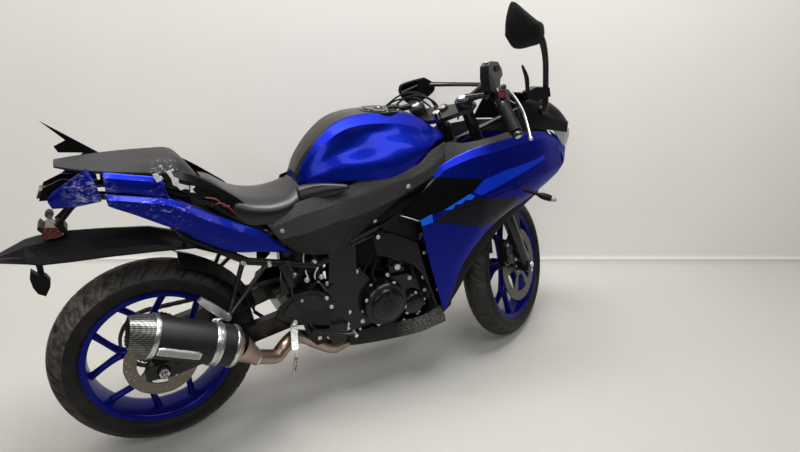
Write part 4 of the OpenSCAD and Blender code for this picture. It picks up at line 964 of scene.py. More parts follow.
for tag, flip in SIDES:
    panel("tail_side_" + tag, TAIL, ["panel_blue"], None if flip else "tail_panels", "panel_blue", mirror=flip,
            steps=(5, 6), sharp_rows=(1, 2), smooth=22)
    panel("tail_strip_" + tag, TAIL_TOP, ["panel_blue"], None, "panel_blue", mirror=flip, steps=(4, 5),
            sharp_rows=(1, 2), smooth=22)
    torn = Kit()
    side = 1 if flip else -1
    for outline in ([(98, 917), (110, 921), (116, 900), (127, 893), (126, 880), (138, 874), (152, 868),
            (150, 858), (140, 862), (128, 860), (120, 872), (110, 878), (108, 896)],
            [(62, 915), (76, 918), (84, 896), (70, 892)], [(156, 868), (168, 864), (160, 858), (166, 846),
            (152, 850)]):
        torn.add(prism(outline, side * 114, side * 117), "torn_white")
    for k, (mat, dx) in enumerate((("wire_red", 20), ("matte_black", 0), ("can_black", 8), ("wire_red", 34))):
        torn.add(sweep([(172 + dx, side * 112, 826 - 9 * k), (200 + dx, side * (119 - k), 818 - 5 * k),
                (222 + dx, side * 118, 792 - 3 * k), (236 + dx, side * 112, 790 - 9 * k)], 2.0, 8, 4), mat)
    torn.build("torn_edges_" + tag, smooth=30)
    panel("tail_infill_" + tag, TORN, ["scraped_black"], None, "panel_black", mirror=flip, steps=(4, 6),
            sharp_rows=(1,), smooth=26)
    panel("tail_corner_" + tag, CORNER, ["panel_blue"], None, "panel_blue", mirror=flip, steps=(5, 6))

# ---------------------------------------------------------------- wheels
def circle(cx, cz, r, n=20, start=0.0):
    return [(cx + r * math.cos(start + 2 * math.pi * k / n),
            cz + r * math.sin(start + 2 * math.pi * k / n)) for k in range(n)]


def cut_plate(loops, y0, y1, bevel=0.0):
    """Plate with holes: closed outlines in the X-Z plane, the first one outside."""
    cu = bpy.data.curves.new("outline", "CURVE")
    cu.dimensions = "2D"
    cu.fill_mode = "BOTH"
    cu.extrude = abs(y1 - y0) / 2 - bevel
    cu.bevel_depth = bevel
    cu.bevel_resolution = 0
    for loop in loops:
        sp = cu.splines.new("POLY")
        sp.points.add(len(loop) - 1)
        for p, (x, z) in zip(sp.points, loop):
            p.co = (x, z, 0, 1)
        sp.use_cyclic_u = True
    ob = bpy.data.objects.new("outline", cu)
    me = bpy.data.meshes.new_from_object(ob)
    mid = (y0 + y1) / 2
    verts = [(v.co.x, mid - v.co.z, v.co.y) for v in me.vertices]
    faces = [tuple(p.vertices) for p in me.polygons]
    bpy.data.objects.remove(ob)
    bpy.data.meshes.remove(me)
    return verts, faces


GROOVE_W, GROOVE_D, SIPE_D = 3.6, 4.0, 3.4  # tread grooves: half width and depth, depth of the short cuts
BEAD_R = 223


def tyre_piece(name, node, place, body, radius, crown, half_w, segments, count):
    """Tyre with a round crown and slanting grooves cut in the tread."""
    ring = radius - crown
    arc = 44
    section = [(BEAD_R, -half_w + 7.5, 2), (230, -half_w - 3, 2), (236, -crown + 3, 2)]
    section += [(ring + crown * math.cos(a), crown * math.sin(a),
            a / (math.pi / 2)) for a in [math.radians(-90 + 180 * i / arc) for i in range(arc + 1)]]
    section += [(236, crown - 3, 2), (230, half_w + 3, 2), (BEAD_R, half_w - 7.5, 2)]
    g = np.zeros((len(section), segments, 3))
    pitch = 2 * math.pi / count
    for i, (r, h, s) in enumerate(section):
        u = abs(s)
        for k in range(segments):
            w = 2 * math.pi * k / segments
            depth = 0.0
            if 0.06 < u < 0.70:
                side = 0.5 if s > 0 else 0.0
                lean = 1.15 * (u - 0.06) ** 0.8
                near = (w / pitch - side - lean + 0.5) % 1.0 - 0.5
                wide = GROOVE_W * min(1.0, (0.74 - u) / 0.2) / (pitch * radius)
                depth = GROOVE_D * max(0.0, min(1.0, 1.7 - abs(near) / wide))
                if 0.30 < u < 0.55:
                    depth = max(depth, SIPE_D * max(0.0, min(1.0, 1.7 - abs(near - 0.36) / wide)))
            rr = r - depth * math.cos(s * math.pi / 2) if u <= 1 else r
            hh = h - depth * math.sin(s * math.pi / 2) if u <= 1 else h
            if u == 2 and abs(h) > half_w:
                rr += 0.5 * math.sin(60 * w)
            g[i, k] = (rr * math.cos(w), hh, rr * math.sin(w))
    me = grid_mesh(name, g, closed=True)
    me.flip_normals()
    for p in me.polygons:
        c = p.center
        p.material_index = 0 if math.hypot(c.x, c.z) > ring + crown * 0.42 else 1
    return finish_piece(me, name, ["tread_rubber", "tyre_rubber"], body, place, 50, node, "tyre_rubber")


def wheel_piece(name, node, place, body, half_w, hub_r, hub_half, bore, first, spacer, spacer_half):
    """Cast rim with five spokes that each split in two."""
    kit = Kit()
    b = 222
    barrel = [(b - 14, -half_w + 6), (b - 9, -half_w + 1), (b - 2, -half_w), (b + 5, -half_w),
            (b + 7, -half_w + 2), (b + 7, -half_w + 5), (b, -half_w + 8), (b - 6, -half_w + 24), (b - 9, 0),
            (b - 6, half_w - 24), (b, half_w - 8), (b + 7, half_w - 5), (b + 7, half_w - 2), (b + 5, half_w),
            (b - 2, half_w), (b - 9, half_w - 1), (b - 14, half_w - 6), (b - 17, half_w - 22), (b - 19, 0),
            (b - 17, -half_w + 22), (b - 14, -half_w + 6)]
    kit.add(turned(barrel, segments=128), "rim_blue")
    hub = [(bore, -hub_half), (hub_r * 0.62, -hub_half), (hub_r * 0.7, -hub_half + 4), (hub_r * 0.7, -28),
            (hub_r, -20), (hub_r + 4, 0), (hub_r, 20), (hub_r * 0.7, 28), (hub_r * 0.7, hub_half - 4),
            (hub_r * 0.62, hub_half), (bore, hub_half)]
    kit.add(turned(hub + hub[:1], segments=64), "rim_blue")
    kit.add(turned([(bore, -spacer_half), (spacer, -spacer_half), (spacer, spacer_half), (bore, spacer_half),
            (bore, -spacer_half)], segments=40), "alloy_silver")
    for k in range(5):
        w = first + math.radians(72 * k)

        def at(r, da, y=0.0):
            return (r * math.cos(w + da), y, r * math.sin(w + da))
        kit.add(sweep([at(hub_r - 6, 0), at(74, 0), at(112, 0)], [25, 21, 21], 14, 5, squash=0.7), "rim_blue")
        for s in (-1, 1):
            kit.add(sweep([at(96, 0.03 * s), at(122, 0.12 * s), at(160, 0.26 * s), at(b - 22, 0.355 * s),
                    at(b - 12, 0.365 * s)], [16, 14, 12.5, 14.5, 19], 14, 5, squash=0.8, flat=(0, 1, 0)),
                    "rim_blue")
    return kit.build(name, body, place, smooth=44, node=node, slot="rim_blue")


tread = Shade("tread_rubber", (0.009, 0.0088, 0.0085), 0.55, 0.0, 0.0, 0.1, 0.28)
tread.tint(tread.span(tread.noise(7, 6, 0.7), 0.42, 0.68, 0.05, 0.7), (0.042, 0.038, 0.033))
tread.tint(tread.span(tread.noise(60, 5, 0.7), 0.55, 0.75, 0.0, 0.4), (0.07, 0.064, 0.056))
tread.bump(tread.noise(500, 4), 0.2, 0.0008)
# Lighter grey-brown patch on the upper rear of the rear tread, round one point
tread_light_patch = tread.math("MULTIPLY", tread.span(tread.noise(34, 8, 0.75), 0.42, 0.6),
        tread.near((-0.85, -0.12, 0.52), 0.03, 0.24))
tread.tint(tread_light_patch, (0.15, 0.135, 0.115))

tyre_piece("rear_tyre_shell", "rear_tyre", REAR, "rear_wheel", REAR_R, 70, 56, 640, 30)
tyre_piece("front_tyre_shell", "front_tyre", FRONT, "front_wheel", FRONT_R, 55, 41, 600, 34)
wheel_piece("rear_wheel_rim", "rear_rim", REAR, "rear_wheel", 56, 46, 78, 10.1, math.radians(169), 18, 88)
wheel_piece("front_wheel_rim", "front_rim", FRONT, "front_wheel", 41, 34, 61, 8.1, math.radians(100), 16, 71)


def disc_piece(name, node, place, body, r, y, t, mat, windows, inner, carrier):
    loops = [[((r - 0.5 + 0.5 * math.cos(14 * a)) * math.cos(a),
            (r - 0.5 + 0.5 * math.cos(14 * a)) * math.sin(a)) for a in [2 * math.pi * k / 168 for k in range(168)]]]
    for k in range(windows):
        a0, a1 = 2 * math.pi * (k + 0.14) / windows, 2 * math.pi * (k + 0.86) / windows
        arc = [a0 + (a1 - a0) * i / 8 for i in range(9)]
        loops.append([(inner * math.cos(a), inner * math.sin(a)) for a in arc] + [(carrier * math.cos(a),
                carrier * math.sin(a)) for a in reversed(arc)])
    for row, count in ((r - 9, 0.0), (r - 18, 0.5), (r - 27, 0.0)):
        n = 28 if r > 120 else 22
        loops += [circle(row * math.cos(2 * math.pi * (k + count) / n),
                row * math.sin(2 * math.pi * (k + count) / n), 2.6, 10) for k in range(n)]
    loops.append(circle(0, 0, 20.5, 32))
    kit = Kit()
    kit.add(cut_plate(loops, y - t / 2, y + t / 2, 0.3), mat)
    for k in range(windows):
        a = 2 * math.pi * k / windows
        kit.bolt((28 * math.cos(a), y - t / 2, 28 * math.sin(a)), (0, -1, 0), 4.2, 3.4)
    return kit.build(name, body, place, smooth=30, node=node, slot="disc_steel")


disc_piece("rear_rotor", "rear_disc", REAR, "rear_wheel", 110, -81.2, 5, "rotor_bronze", 5, 72, 40)
disc_piece("front_rotor", "front_disc", FRONT, "front_wheel", 149, -64.6, 4.5, "disc_steel", 6, 112, 46)
teeth = 42
sprocket_edge = [((94.4 - 3.5 * (k % 2)) * math.cos(math.pi * k / teeth),
        (94.4 - 3.5 * (k % 2)) * math.sin(math.pi * k / teeth)) for k in range(2 * teeth)]
kit = Kit()
kit.add(cut_plate([sprocket_edge] + [circle(66 * math.cos(a), 66 * math.sin(a), 15,
        18) for a in [math.radians(72 * k) for k in range(5)]] + [circle(0, 0, 20.5, 28)], 79, 84.4, 0.3),
        "chain_steel")
for k in range(5):
    a = math.radians(36 + 72 * k)
    kit.bolt((40 * math.cos(a), 84, 40 * math.sin(a)), (0, 1, 0), 5, 4)
kit.build("rear_sprocket_ring", "rear_wheel", REAR, node="rear_sprocket", slot="alloy_silver")

# Chain: link plates and rollers round the two sprockets
CHAIN_Y, CHAIN_PITCH = 83.0, 15.875
ra, rb = 106.0, 42.0
ax, az, bx, bz = 0.0, REAR_R, 645.0, 380.0
gap = math.hypot(bx - ax, bz - az)
tilt = math.atan2(bz - az, bx - ax)
wrap = math.acos((ra - rb) / gap)
path = []
for i in range(61):
    a = tilt + wrap + (2 * math.pi - 2 * wrap) * i / 60
    path.append((ax + ra * math.cos(a), az + ra * math.sin(a)))
for i in range(25):
    a = tilt - wrap + 2 * wrap * i / 24
    path.append((bx + rb * math.cos(a), bz + rb * math.sin(a)))
path.append(path[0])
path = np.array(path)
steps = np.linalg.norm(np.diff(path, axis=0), axis=1)
along = np.concatenate([[0], np.cumsum(steps)])
links = int(along[-1] / CHAIN_PITCH / 2) * 2
chain = Kit()
for k in range(links):
    p, q = [np.array([np.interp((k + d) % links * along[-1] / links, along, path[:, c]) for c in (0,
            1)]) for d in (0, 1)]
    d = (q - p) / np.linalg.norm(q - p)
    n = np.array((-d[1], d[0]))
    half = 4.6 if k % 2 else 6.4
    outline = []
    for c, sign in ((q, 1), (p, -1)):
        for a in (-75, -25, 25, 75):
            v = sign * (d * math.cos(math.radians(a)) + n * math.sin(math.radians(a)))
            outline.append(tuple(c + v * 5.4))
    for s in (-1, 1):
        chain.add(prism(outline, CHAIN_Y + s * half - 0.6, CHAIN_Y + s * half + 0.6), "chain_steel")
    chain.add(turned([(0, -6.9), (3.2, -6.9), (3.2, 6.9), (0, 6.9)], (p[0], CHAIN_Y, p[1]), segments=8),
            "chain_steel")
chain.build("chain_links", "chassis", node="drive_chain", slot="chain_steel")

# ---------------------------------------------------------------- exhaust
LINK = [(880, 0, 205), (740, 0, 203), (640, -62, 206), (560, -96, 207), (500, -103, 244), (447, -114, 288),
        (400, -140, 312), (362, -172, 310), (328, -184, 291), (262, -204, 322)]
CAN_FRONT, CAN_REAR = Vector((208, -222, 386)), Vector((-64, -232, 516))
CAN_DIR = (CAN_FRONT - CAN_REAR).normalized()
CAN_LEN = (CAN_FRONT - CAN_REAR).length
pipe = Kit("exhaust_bronze")
for s in (-1, 1):
    pipe.add(sweep([(932, s * 45, 470), (962, s * 46, 456), (978, s * 46, 424), (978, s * 46, 330),
            (965, s * 44, 272), (935, s * 34, 228), (880, s * 10, 206)], 17, 18, 5))
pipe.add(turned([(0, 0), (26, 0), (31, 8), (31, 46), (24, 52), (0, 52)], (902, 0, 207), (-1, 0, -0.05), 28))
pipe.add(sweep(LINK, 23.6, 24, 7))
end, cone_dir = Vector(LINK[-1]), (CAN_FRONT - Vector(LINK[-1])).normalized()
cone_len = (CAN_FRONT - end).length
pipe.add(turned([(0, -10), (25, -10), (26, 4), (28, 16), (44, cone_len - 6), (46, cone_len)], end, cone_dir,
        40))
for i, r in ((9, 26.2), (6, 25.4), (3, 25.4)):
    d = (Vector(LINK[i]) - Vector(LINK[i - 1])).normalized()
    pipe.add(turned([(23, -5), (r, -3.5), (r + 0.8, 0), (r, 3.5), (23, 5)], LINK[i], d, 32),
            "can_ring" if i == 9 else "exhaust_bronze")
pipe.build("exhaust_route", smooth=50, node="exhaust_pipe", slot="exhaust_bronze")


def along_can(profile, segments=64):
    """Profile along the silencer, from its rear mouth forward."""
    return turned(profile, CAN_REAR, CAN_DIR, segments)


CAP_END, RING_END, STRAP, CAN_R = 46.0, 57.0, 228.0, 61.6
can = Kit("can_ring")
cap_shape = along_can([(43, 0), (46, 1), (50, 12), (56, 26), (61.6, CAP_END)], 72)
cap_bore = along_can([(24, 26), (30, 8), (38, 3), (43, 0)], 72)
upright = Vector((0, 0, 1)) - CAN_DIR * CAN_DIR.z
upright.normalize()


def slanted(shape, full, fade):
    """Shears the rear of the cap so that its mouth slopes."""
    out = []
    for p in shape[0]:
        q = Vector(p) - CAN_REAR
        s = q.dot(CAN_DIR)
        k = max(0.0, 1 - s / fade)
        out.append(Vector(p) - CAN_DIR * (13 + q.dot(upright) * full) * k)
    return out, shape[1]


can.add(slanted(cap_shape, 0.22, CAP_END), "carbon_silver")
# Near-black bore inside the mouth: soot and painted shade
can.add(slanted(cap_bore, 0.22, CAP_END), "painted_shade_black")
can.add(slanted(along_can([(0, 60), (23.6, 60), (23.6, 8), (26, 4)], 40), 0.22, CAP_END), "painted_shade_black")
can.add(along_can([(61, CAP_END - 2), (63.6, CAP_END - 1), (64, CAP_END + 1), (64, RING_END - 1),
        (63.6, RING_END + 1), (61, RING_END + 2)]))
can.add(along_can([(60.6, RING_END), (61.4, RING_END + 4), (61.6, 200), (61.6, 276)]), "can_black")
can.add(along_can([(61, 277), (63.4, 278), (63.8, 280), (63.8, 288), (62, 290)]))
can.add(along_can([(62, 290), (60, 294), (48, CAN_LEN - 2), (46, CAN_LEN + 4)]), "exhaust_bronze")
can.add(along_can([(61.4, STRAP - 12), (64.4, STRAP - 11.4), (64.8, STRAP - 10), (64.8, STRAP - 2.5),
        (63.2, STRAP - 2), (63.2, STRAP + 2), (64.8, STRAP + 2.5), (64.8, STRAP + 10), (64.4, STRAP + 11.4),
        (61.4, STRAP + 12)]))
for k in range(3):
    a = math.radians(200 + 60 * k)
    e = CAN_DIR.orthogonal().normalized()
    d = e * math.cos(a) + CAN_DIR.cross(e) * math.sin(a)
    for s in (RING_END - 7, 282):
        can.bolt(CAN_REAR + CAN_DIR * s + d * 63.4, d, 2.4, 1.8)
# Blank plate on the side of the can
PLATE_OUT = Vector((0.15, -0.91, -0.34))
PLATE_OUT = (PLATE_OUT - CAN_DIR * PLATE_OUT.dot(CAN_DIR)).normalized()
PLATE_UP = CAN_DIR.cross(PLATE_OUT)
for mat, half, rise, tall in (("can_ring", 60, 2.2, 0.26), ("plate_blank", 56, 2.8, 0.21)):
    rows = []
    for i in range(13):
        s = 122 - half + 2 * half * i / 12
        cut = 0.8 if i in (0, 12) else 1.0
        row = []
        for j, a in enumerate([tall * cut * (k - 4) / 4 for k in range(9)]):
            out = CAN_R + (rise if 0 < j < 8 else -1)
            row.append(CAN_REAR + CAN_DIR * s + (PLATE_OUT * math.cos(a) + PLATE_UP * math.sin(a)) * out)
        rows.append(row)
    verts = [tuple(p) for r in rows for p in r]
    can.add((verts, [(i * 9 + j, i * 9 + j + 1, (i + 1) * 9 + j + 1,
            (i + 1) * 9 + j) for i in range(12) for j in range(8)]), mat)
hang = Vector((199, -166, 460))
strap_at = CAN_REAR + CAN_DIR * STRAP
up_strap = ((hang - strap_at) - CAN_DIR * (hang - strap_at).dot(CAN_DIR)).normalized()
for s in (-7, 7):
    can.add(sweep([strap_at + up_strap * 60 + CAN_DIR * s, strap_at + up_strap * 70 + CAN_DIR * s * 0.8,
            hang - up_strap * 3], [5, 5.5, 6], 10, 3))
can.build("silencer_can", smooth=42, node="silencer", slot="can_black", bevel=0)

# ---------------------------------------------------------------- frame, swingarm and rear frame
for node, mat in (("frame", "frame_black"), ("subframe", "frame_black"), ("swingarm", "frame_black"),
        ("triple_clamps", "fork_black"), ("side_stand", "frame_black"), ("grab_rail", "scraped_black"),
        ("rear_hugger", "matte_black"), ("rear_mudguard", "matte_black")):
    repaint(node, mat, 1.6 if node not in ("rear_mudguard", "rear_hugger") else 0.8)
bits = Kit()
for at, r in (((592, -128, 586), 7), ((565, -128, 640), 6), ((625, -128, 606), 6), ((600, -128, 300), 6),
        ((556, -128, 250), 6), ((610, -128, 345), 5), ((520, -128, 312), 6), ((640, -128, 492), 6),
        ((590, -128, 560), 8)):
    bits.bolt(at, (0, -1, 0), r, 5)
    bits.bolt((at[0], 128, at[2]), (0, 1, 0), r, 5)
# Main pivot with its cap
for s in (-1, 1):
    bits.add(turned([(0, 1), (8, 1), (9, 3), (14, 3), (16, 0), (24, 0), (26, -3), (26, -8)],
            (572, s * 132, 388), (0, s, 0), 32), "frame_black")
bits.build("frame_bolts", smooth=36)

# Axle nut, adjusters and caliper bracket of the rear wheel
arm = Kit("frame_black")
for s in (-1, 1):
    arm.add(prism([(-52, 292), (-52, 332), (30, 344), (42, 318), (30, 288)], s * 131, s * 137))
    arm.add(turned([(0, 9), (10, 9), (16, 6), (17, 0)], (0, s * 145, REAR_R), (0, s, 0), 6), "bolt_steel")
    arm.add(turned([(0, 4), (20, 4), (21, 0)], (0, s * 142, REAR_R), (0, s, 0), 28))
    arm.bolt((-44, s * 120, REAR_R), (-1, 0, 0), 6, 8)
    arm.add(box((60, s * 131, 318), (200, s * 134, 350)))
    arm.bolt((96, s * 134, 338), (0, s, 0), 4, 3)
    arm.bolt((180, s * 134, 344), (0, s, 0), 4, 3)
arm.build("swingarm_ends", smooth=36, bevel=1.0)
rear_cal = Kit("caliper_black")
rear_cal.add(prism([(-24, 300), (-16, 290), (16, 290), (24, 300), (40, 396), (-34, 396)], -96, -89))
rear_cal.add(prism([(-42, 376), (-30, 366), (36, 366), (48, 378), (42, 436), (24, 446), (-22, 446), (-38, 434)],
        -112, -90))
rear_cal.add(prism([(-42, 425), (46, 425), (40, 446), (-34, 446)], -90, -60))
rear_cal.add(turned([(0, 3), (14, 3), (18, 0), (18, -4)], (4, -112, 404), (0, -1, 0), 28))
for x in (-26, 32):
    rear_cal.bolt((x, -112, 386), (0, -1, 0), 4, 4)
rear_cal.build("rear_brake_caliper", smooth=34, bevel=1.5, node="rear_caliper", slot="caliper_black")

# Shock absorber: spring, rod, body and top nut
shock = Kit("frame_black")
foot, top = Vector((446, 0, 430)), Vector((556, 0, 604))
axis = (top - foot).normalized()
length = (top - foot).length
e1 = Vector((0, 1, 0))
e2 = axis.cross(e1)
coil = []
for t in range(121):
    a = 2 * math.pi * 7.5 * t / 120
    coil.append(foot + axis * (38 + (length - 86) * t / 120) + (e1 * math.cos(a) + e2 * math.sin(a)) * 25)
shock.add(sweep(coil, 4.6, 8, 1), "bolt_steel")
shock.add(turned([(0, 8), (9, 8), (9, length - 10), (0, length - 10)], foot, axis, 20), "chain_steel")
shock.add(turned([(10, length - 110), (18, length - 108), (18, length - 46), (29, length - 46),
        (29, length - 40), (14, length - 36), (14, length - 12), (0, length - 12)], foot, axis, 32))
shock.add(turned([(10, 20), (29, 32), (29, 36), (10, 38)], foot, axis, 32))
for p in (foot, top):
    shock.add(turned([(8, -17), (13, -17), (14, -15), (14, 15), (13, 17), (8, 17)], p, (0, 1, 0), 28))
shock.build("shock_spring", smooth=40, node="rear_shock", slot="engine_black")

# ---------------------------------------------------------------- engine
motor = Kit("engine_black")
CASE = [(602, 300), (640, 228), (880, 228), (930, 270), (935, 360), (925, 430), (700, 440), (660, 500),
        (604, 500), (602, 420)]
motor.add(prism(CASE, -118, 70))
motor.add(prism([(700, 268), (740, 252), (880, 252), (930, 290), (925, 420), (700, 430)], 66, 116))
a, b, c, d = (765, 425), (925, 385), (985, 600), (840, 650)
motor.add(prism([a, b, c, d], -104, 104))
for k in range(9):
    t = 0.20 + 0.07 * k
    lo = (a[0] + (d[0] - a[0]) * t - 7, a[1] + (d[1] - a[1]) * t)
    hi = (b[0] + (c[0] - b[0]) * t + 7, b[1] + (c[1] - b[1]) * t)
    motor.add(prism([lo, hi, (hi[0] + 1.2, hi[1] + 4), (lo[0] + 1.2, lo[1] + 4)], -109, 109))
motor.add(prism([(838, 650), (986, 600), (996, 626), (978, 642), (850, 686), (832, 672)], -98, 98))
# Clutch cover: stepped lid, oil filler, ribs and screws
CLUTCH_X, CLUTCH_Z = 742, 352
PUMP_X, PUMP_Z = 858, 318
LID_X, LID_Z = 800, 340
motor.add(turned([(0, 51), (46, 51), (56, 48), (60, 44), (62, 40), (74, 39), (80, 34), (82, 26), (82, 0)],
        (CLUTCH_X, -116, CLUTCH_Z), (0, -1, 0), 72))
motor.add(turned([(0, 56), (20, 56), (23, 53), (23, 49)], (CLUTCH_X, -116, CLUTCH_Z), (0, -1, 0), 40),
        "panel_black")
for k in range(8):
    a = math.radians(22 + 45 * k)
    motor.bolt((CLUTCH_X + 79 * math.cos(a), -146, CLUTCH_Z + 79 * math.sin(a)), (0, -1, 0), 5, 6,
            "bolt_steel" if k % 2 else "engine_black")
for k in range(3):
    a = math.radians(80 + 35 * k)
    motor.add(box((CLUTCH_X + 30 * math.cos(a), -168, CLUTCH_Z + 30 * math.sin(a)),
            (CLUTCH_X + 50 * math.cos(a) + 4, -163, CLUTCH_Z + 50 * math.sin(a) + 4)))
motor.add(turned([(0, 30), (30, 30), (38, 26), (44, 20), (48, 12), (48, 0)], (PUMP_X, -116, PUMP_Z), (0, -1, 0),
        56))
for k in range(5):
    a = math.radians(72 * k + 10)
    motor.bolt((PUMP_X + 42 * math.cos(a), -136, PUMP_Z + 42 * math.sin(a)), (0, -1, 0), 4, 5)
# Generator cover and sprocket cover on the left
motor.add(turned([(0, 34), (54, 34), (66, 30), (72, 22), (74, 10), (74, 0)], (LID_X, 114, LID_Z), (0, 1, 0),
        64))
for k in range(7):
    a = math.radians(51.4 * k)
    motor.bolt((LID_X + 68 * math.cos(a), 130, LID_Z + 68 * math.sin(a)), (0, 1, 0), 4.5, 5)
motor.add(turned([(0, 18), (24, 18), (26, 14), (26, 0), (35, 0), (35, -18)], (645, 72, 380), (0, 1, 0), 40),
        "chain_steel")
# Screws and plugs that catch the light around the right side
for at in ((690, -118, 404), (668, -118, 330), (662, -118, 290), (652, -118, 258), (700, -118, 250),
        (770, -118, 248), (826, -118, 246), (880, -118, 262), (905, -118, 296), (912, -118, 350),
        (700, -118, 420), (762, -118, 446), (850, -118, 414), (905, -118, 404)):
    motor.bolt(at, (0, -1, 0), 5.5, 6)
motor.add(turned([(0, 12), (12, 12), (15, 8), (15, 0)], (800, -112, 470), (0, -1, 0), 6), "bolt_steel")
motor.add(turned([(0, 16), (14, 16), (17, 12), (17, 0)], (905, -104, 560), (0, -1, 0), 24), "alloy_silver")
# Hoses and cables on the right of the engine
for pts, r, mat in (
        ([(905, -112, 560), (880, -128, 520), (850, -134, 470), (862, -130, 420)], 8, "matte_black"),
        ([(985, -120, 640), (930, -128, 610), (860, -132, 600), (790, -130, 560), (760, -126, 480)], 7,
         "matte_black"),
        ([(720, -122, 520), (700, -128, 470), (716, -128, 430)], 6, "matte_black"),
        ([(780, -118, 640), (730, -128, 600), (700, -126, 540), (668, -124, 480)], 5, "matte_black")):
    motor.add(sweep(pts, r, 12, 7), mat)
motor.build("engine_unit", smooth=34, bevel=1.2, node="engine", slot="engine_black")

# Black infill between frame tube, fairing and engine
trim = Kit()
SPAR = [(688, 612), (702, 640), (760, 622), (860, 566), (905, 520), (942, 432), (956, 352), (952, 300),
        (930, 300), (905, 372), (878, 440), (838, 490), (770, 528), (700, 556)]
trim.both(prism(SPAR, -172, -164), "panel_black")
trim.both(prism([(720, 650), (800, 690), (850, 655), (872, 560), (820, 590), (740, 630)], -160, -154),
        "matte_black")
for at in ((706, -172, 620), (880, -172, 528), (936, -172, 372)):
    trim.bolt(at, (0, -1, 0), 5, 4)
trim.build("side_spars", smooth=30, bevel=2.0)

# Plain near-black fillers that close the view through the frame: painted shade where the frame's inside lies in shadow
boxes = Kit()
for outline, half in (
        ([(560, 640), (620, 600), (700, 610), (800, 655), (950, 720), (960, 800), (860, 830), (700, 800),
         (560, 720)], 104),
        ([(250, 700), (330, 660), (470, 600), (540, 600), (540, 700), (470, 730), (300, 760), (180, 800),
         (170, 770)], 62),
        ([(640, 500), (700, 470), (760, 440), (770, 560), (830, 640), (760, 650), (660, 610)], 70),
        ([(470, 470), (540, 470), (540, 600), (440, 620), (420, 560)], 66),
        ([(900, 190), (1000, 205), (1046, 240), (1058, 330), (1050, 420), (1000, 430), (930, 300)], 92)):
    boxes.add(prism(outline, -half, half), "painted_shade_black")
boxes.build("airbox", smooth=30, bevel=4.0)

# ---------------------------------------------------------------- radiator
core = Kit("radiator_black")
lo, hi = Vector((992, 0, 452)), Vector((1046, 0, 676))
run = (hi - lo).normalized()
depth = Vector((32, 0, -7.2)).normalized()
core.add(([(p.x, y, p.z) for y in (-132, 132) for p in (lo, lo + depth * 30, hi + depth * 30, hi)], BOX_FACES))
for k in range(36):
    c = lo + run * (8 + 6.0 * k)
    a, b = c - depth * 1.5, c + depth * 31.5
    core.add(([(p.x, y, p.z) for y in (-130, 130) for p in (a, b, b + run * 2.4, a + run * 2.4)], BOX_FACES))
for s in (-1, 1):
    core.add(sweep([(1007, s * 141, 452), (1062, s * 141, 674)], [12, 12], 16, 2))
    core.add(sweep([(1058, s * 84, 672), (1062, s * 84, 736)], [7, 7], 12, 2), "frame_black")
core.build("radiator_core", smooth=34, node="radiator", slot="radiator_black")

# ---------------------------------------------------------------- rests and their brackets
rests = Kit("frame_black")
for s in (-1, 1):
    rests.add(prism([(352, 404), (366, 440), (420, 470), (470, 474), (520, 452), (552, 414), (548, 380),
            (512, 262), (480, 262), (452, 300), (440, 352), (384, 364)], s * 141, s * 146), "panel_black")
    rests.add(prism([(372, 408), (400, 442), (440, 456), (480, 454), (516, 434), (534, 404), (500, 392),
            (470, 404), (430, 384)], s * 146, s * 149), "engine_black")
    rests.add(prism([(372, 470), (384, 590), (412, 592), (424, 500), (400, 480)], s * 141, s * 146))
    for at in ((412, 372), (440, 444), (524, 430), (540, 394), (492, 288), (394, 578)):
        rests.bolt((at[0], s * 147, at[1]), (0, s, 0), 5, 4)
    rests.add(turned([(0, 14), (8, 14), (9, 0)], (550, s * 128, 462), (0, s, 0), 18))
    rests.add(turned([(0, 14), (8, 14), (9, 0)], (548, s * 128, 400), (0, s, 0), 18))
rests.build("heel_plates", smooth=30, bevel=1.4, node="footrest_brackets", slot="frame_black")
pegs = Kit("alloy_silver")
for s in (-1, 1):
    root, tip = Vector((405, s * 152, 362)), Vector((372, s * 262, 336))
    d = (tip - root).normalized()
    up = Vector((0, 0, 1)) - d * d.z
    up.normalize()
    w = d.cross(up)
    pegs.add(square_bar(root, d, w, up, ((-2, 8, 7), (6, 12, 8), (100, 11, 7), (112, 9, 6))))
    for k in range(9):
        c = root + d * (18 + 10 * k) + up * 7.5
        pegs.add(([tuple(c + w * x + d * q + up * z) for x in (-11, 11) for q,
                z in ((-2, 0), (2, 0), (1, 2.4), (-1, 2.4))], BOX_FACES))

    pegs.add(sweep([tip - d * 10 - up * 4, tip - d * 8 - up * 30, tip + Vector((-20, s * 4, -88))],
            [3.6, 3.4, 3.0], 10, 5))
    for k in range(4):
        c = tip - d * 8 - up * (34 + 15 * k) + Vector((-2.6 * k, 0, 0))
        pegs.add(turned([(0, -4), (5, -3.4), (5.6, 0), (5, 3.4), (0, 4)], c, up, 12), "chain_steel")
    pegs.add(turned([(0, 9), (7, 9), (10, 6), (10, -6), (0, -6)], (405, s * 148, 362), (0, s, 0), 20),
            "bolt_steel")
pegs.build("rider_pegs", smooth=30, bevel=0.8, node="footrests", slot="alloy_silver")

rear_pegs = Kit()
for s in (-1, 1):
    hub, end = Vector((204, s * 150, 452)), Vector((199, s * 166, 460))
    tip = Vector((124, s * 194, 552))
    for p in ((276, s * 112, 607), (352, s * 116, 588)):
        p = Vector(p)
        run = (hub - p).normalized()
        rear_pegs.add(sweep([p + run * -4, p + run * 40, hub + Vector((3, 0, 2)) - run * 4], [13, 11, 9], 6, 3,
                squash=0.7), "frame_black")
        rear_pegs.bolt(p + Vector((0, s * 9, -4)), (0, s, 0), 7, 5)
    rear_pegs.add(turned([(0, 9), (11, 9), (13, 6), (13, -12), (0, -12)], end, (0, s, 0.3), 24), "can_ring")
    d = (tip - end).normalized()
    side = Vector((0, s, 0)) - d * d.y * s
    side.normalize()
    flat = d.cross(side)
    rear_pegs.add(square_bar(end, d, side, flat, ((4, 8, 8), (18, 7, 12), (80, 6, 12),
            ((tip - end).length, 5, 8))), "alloy_silver")
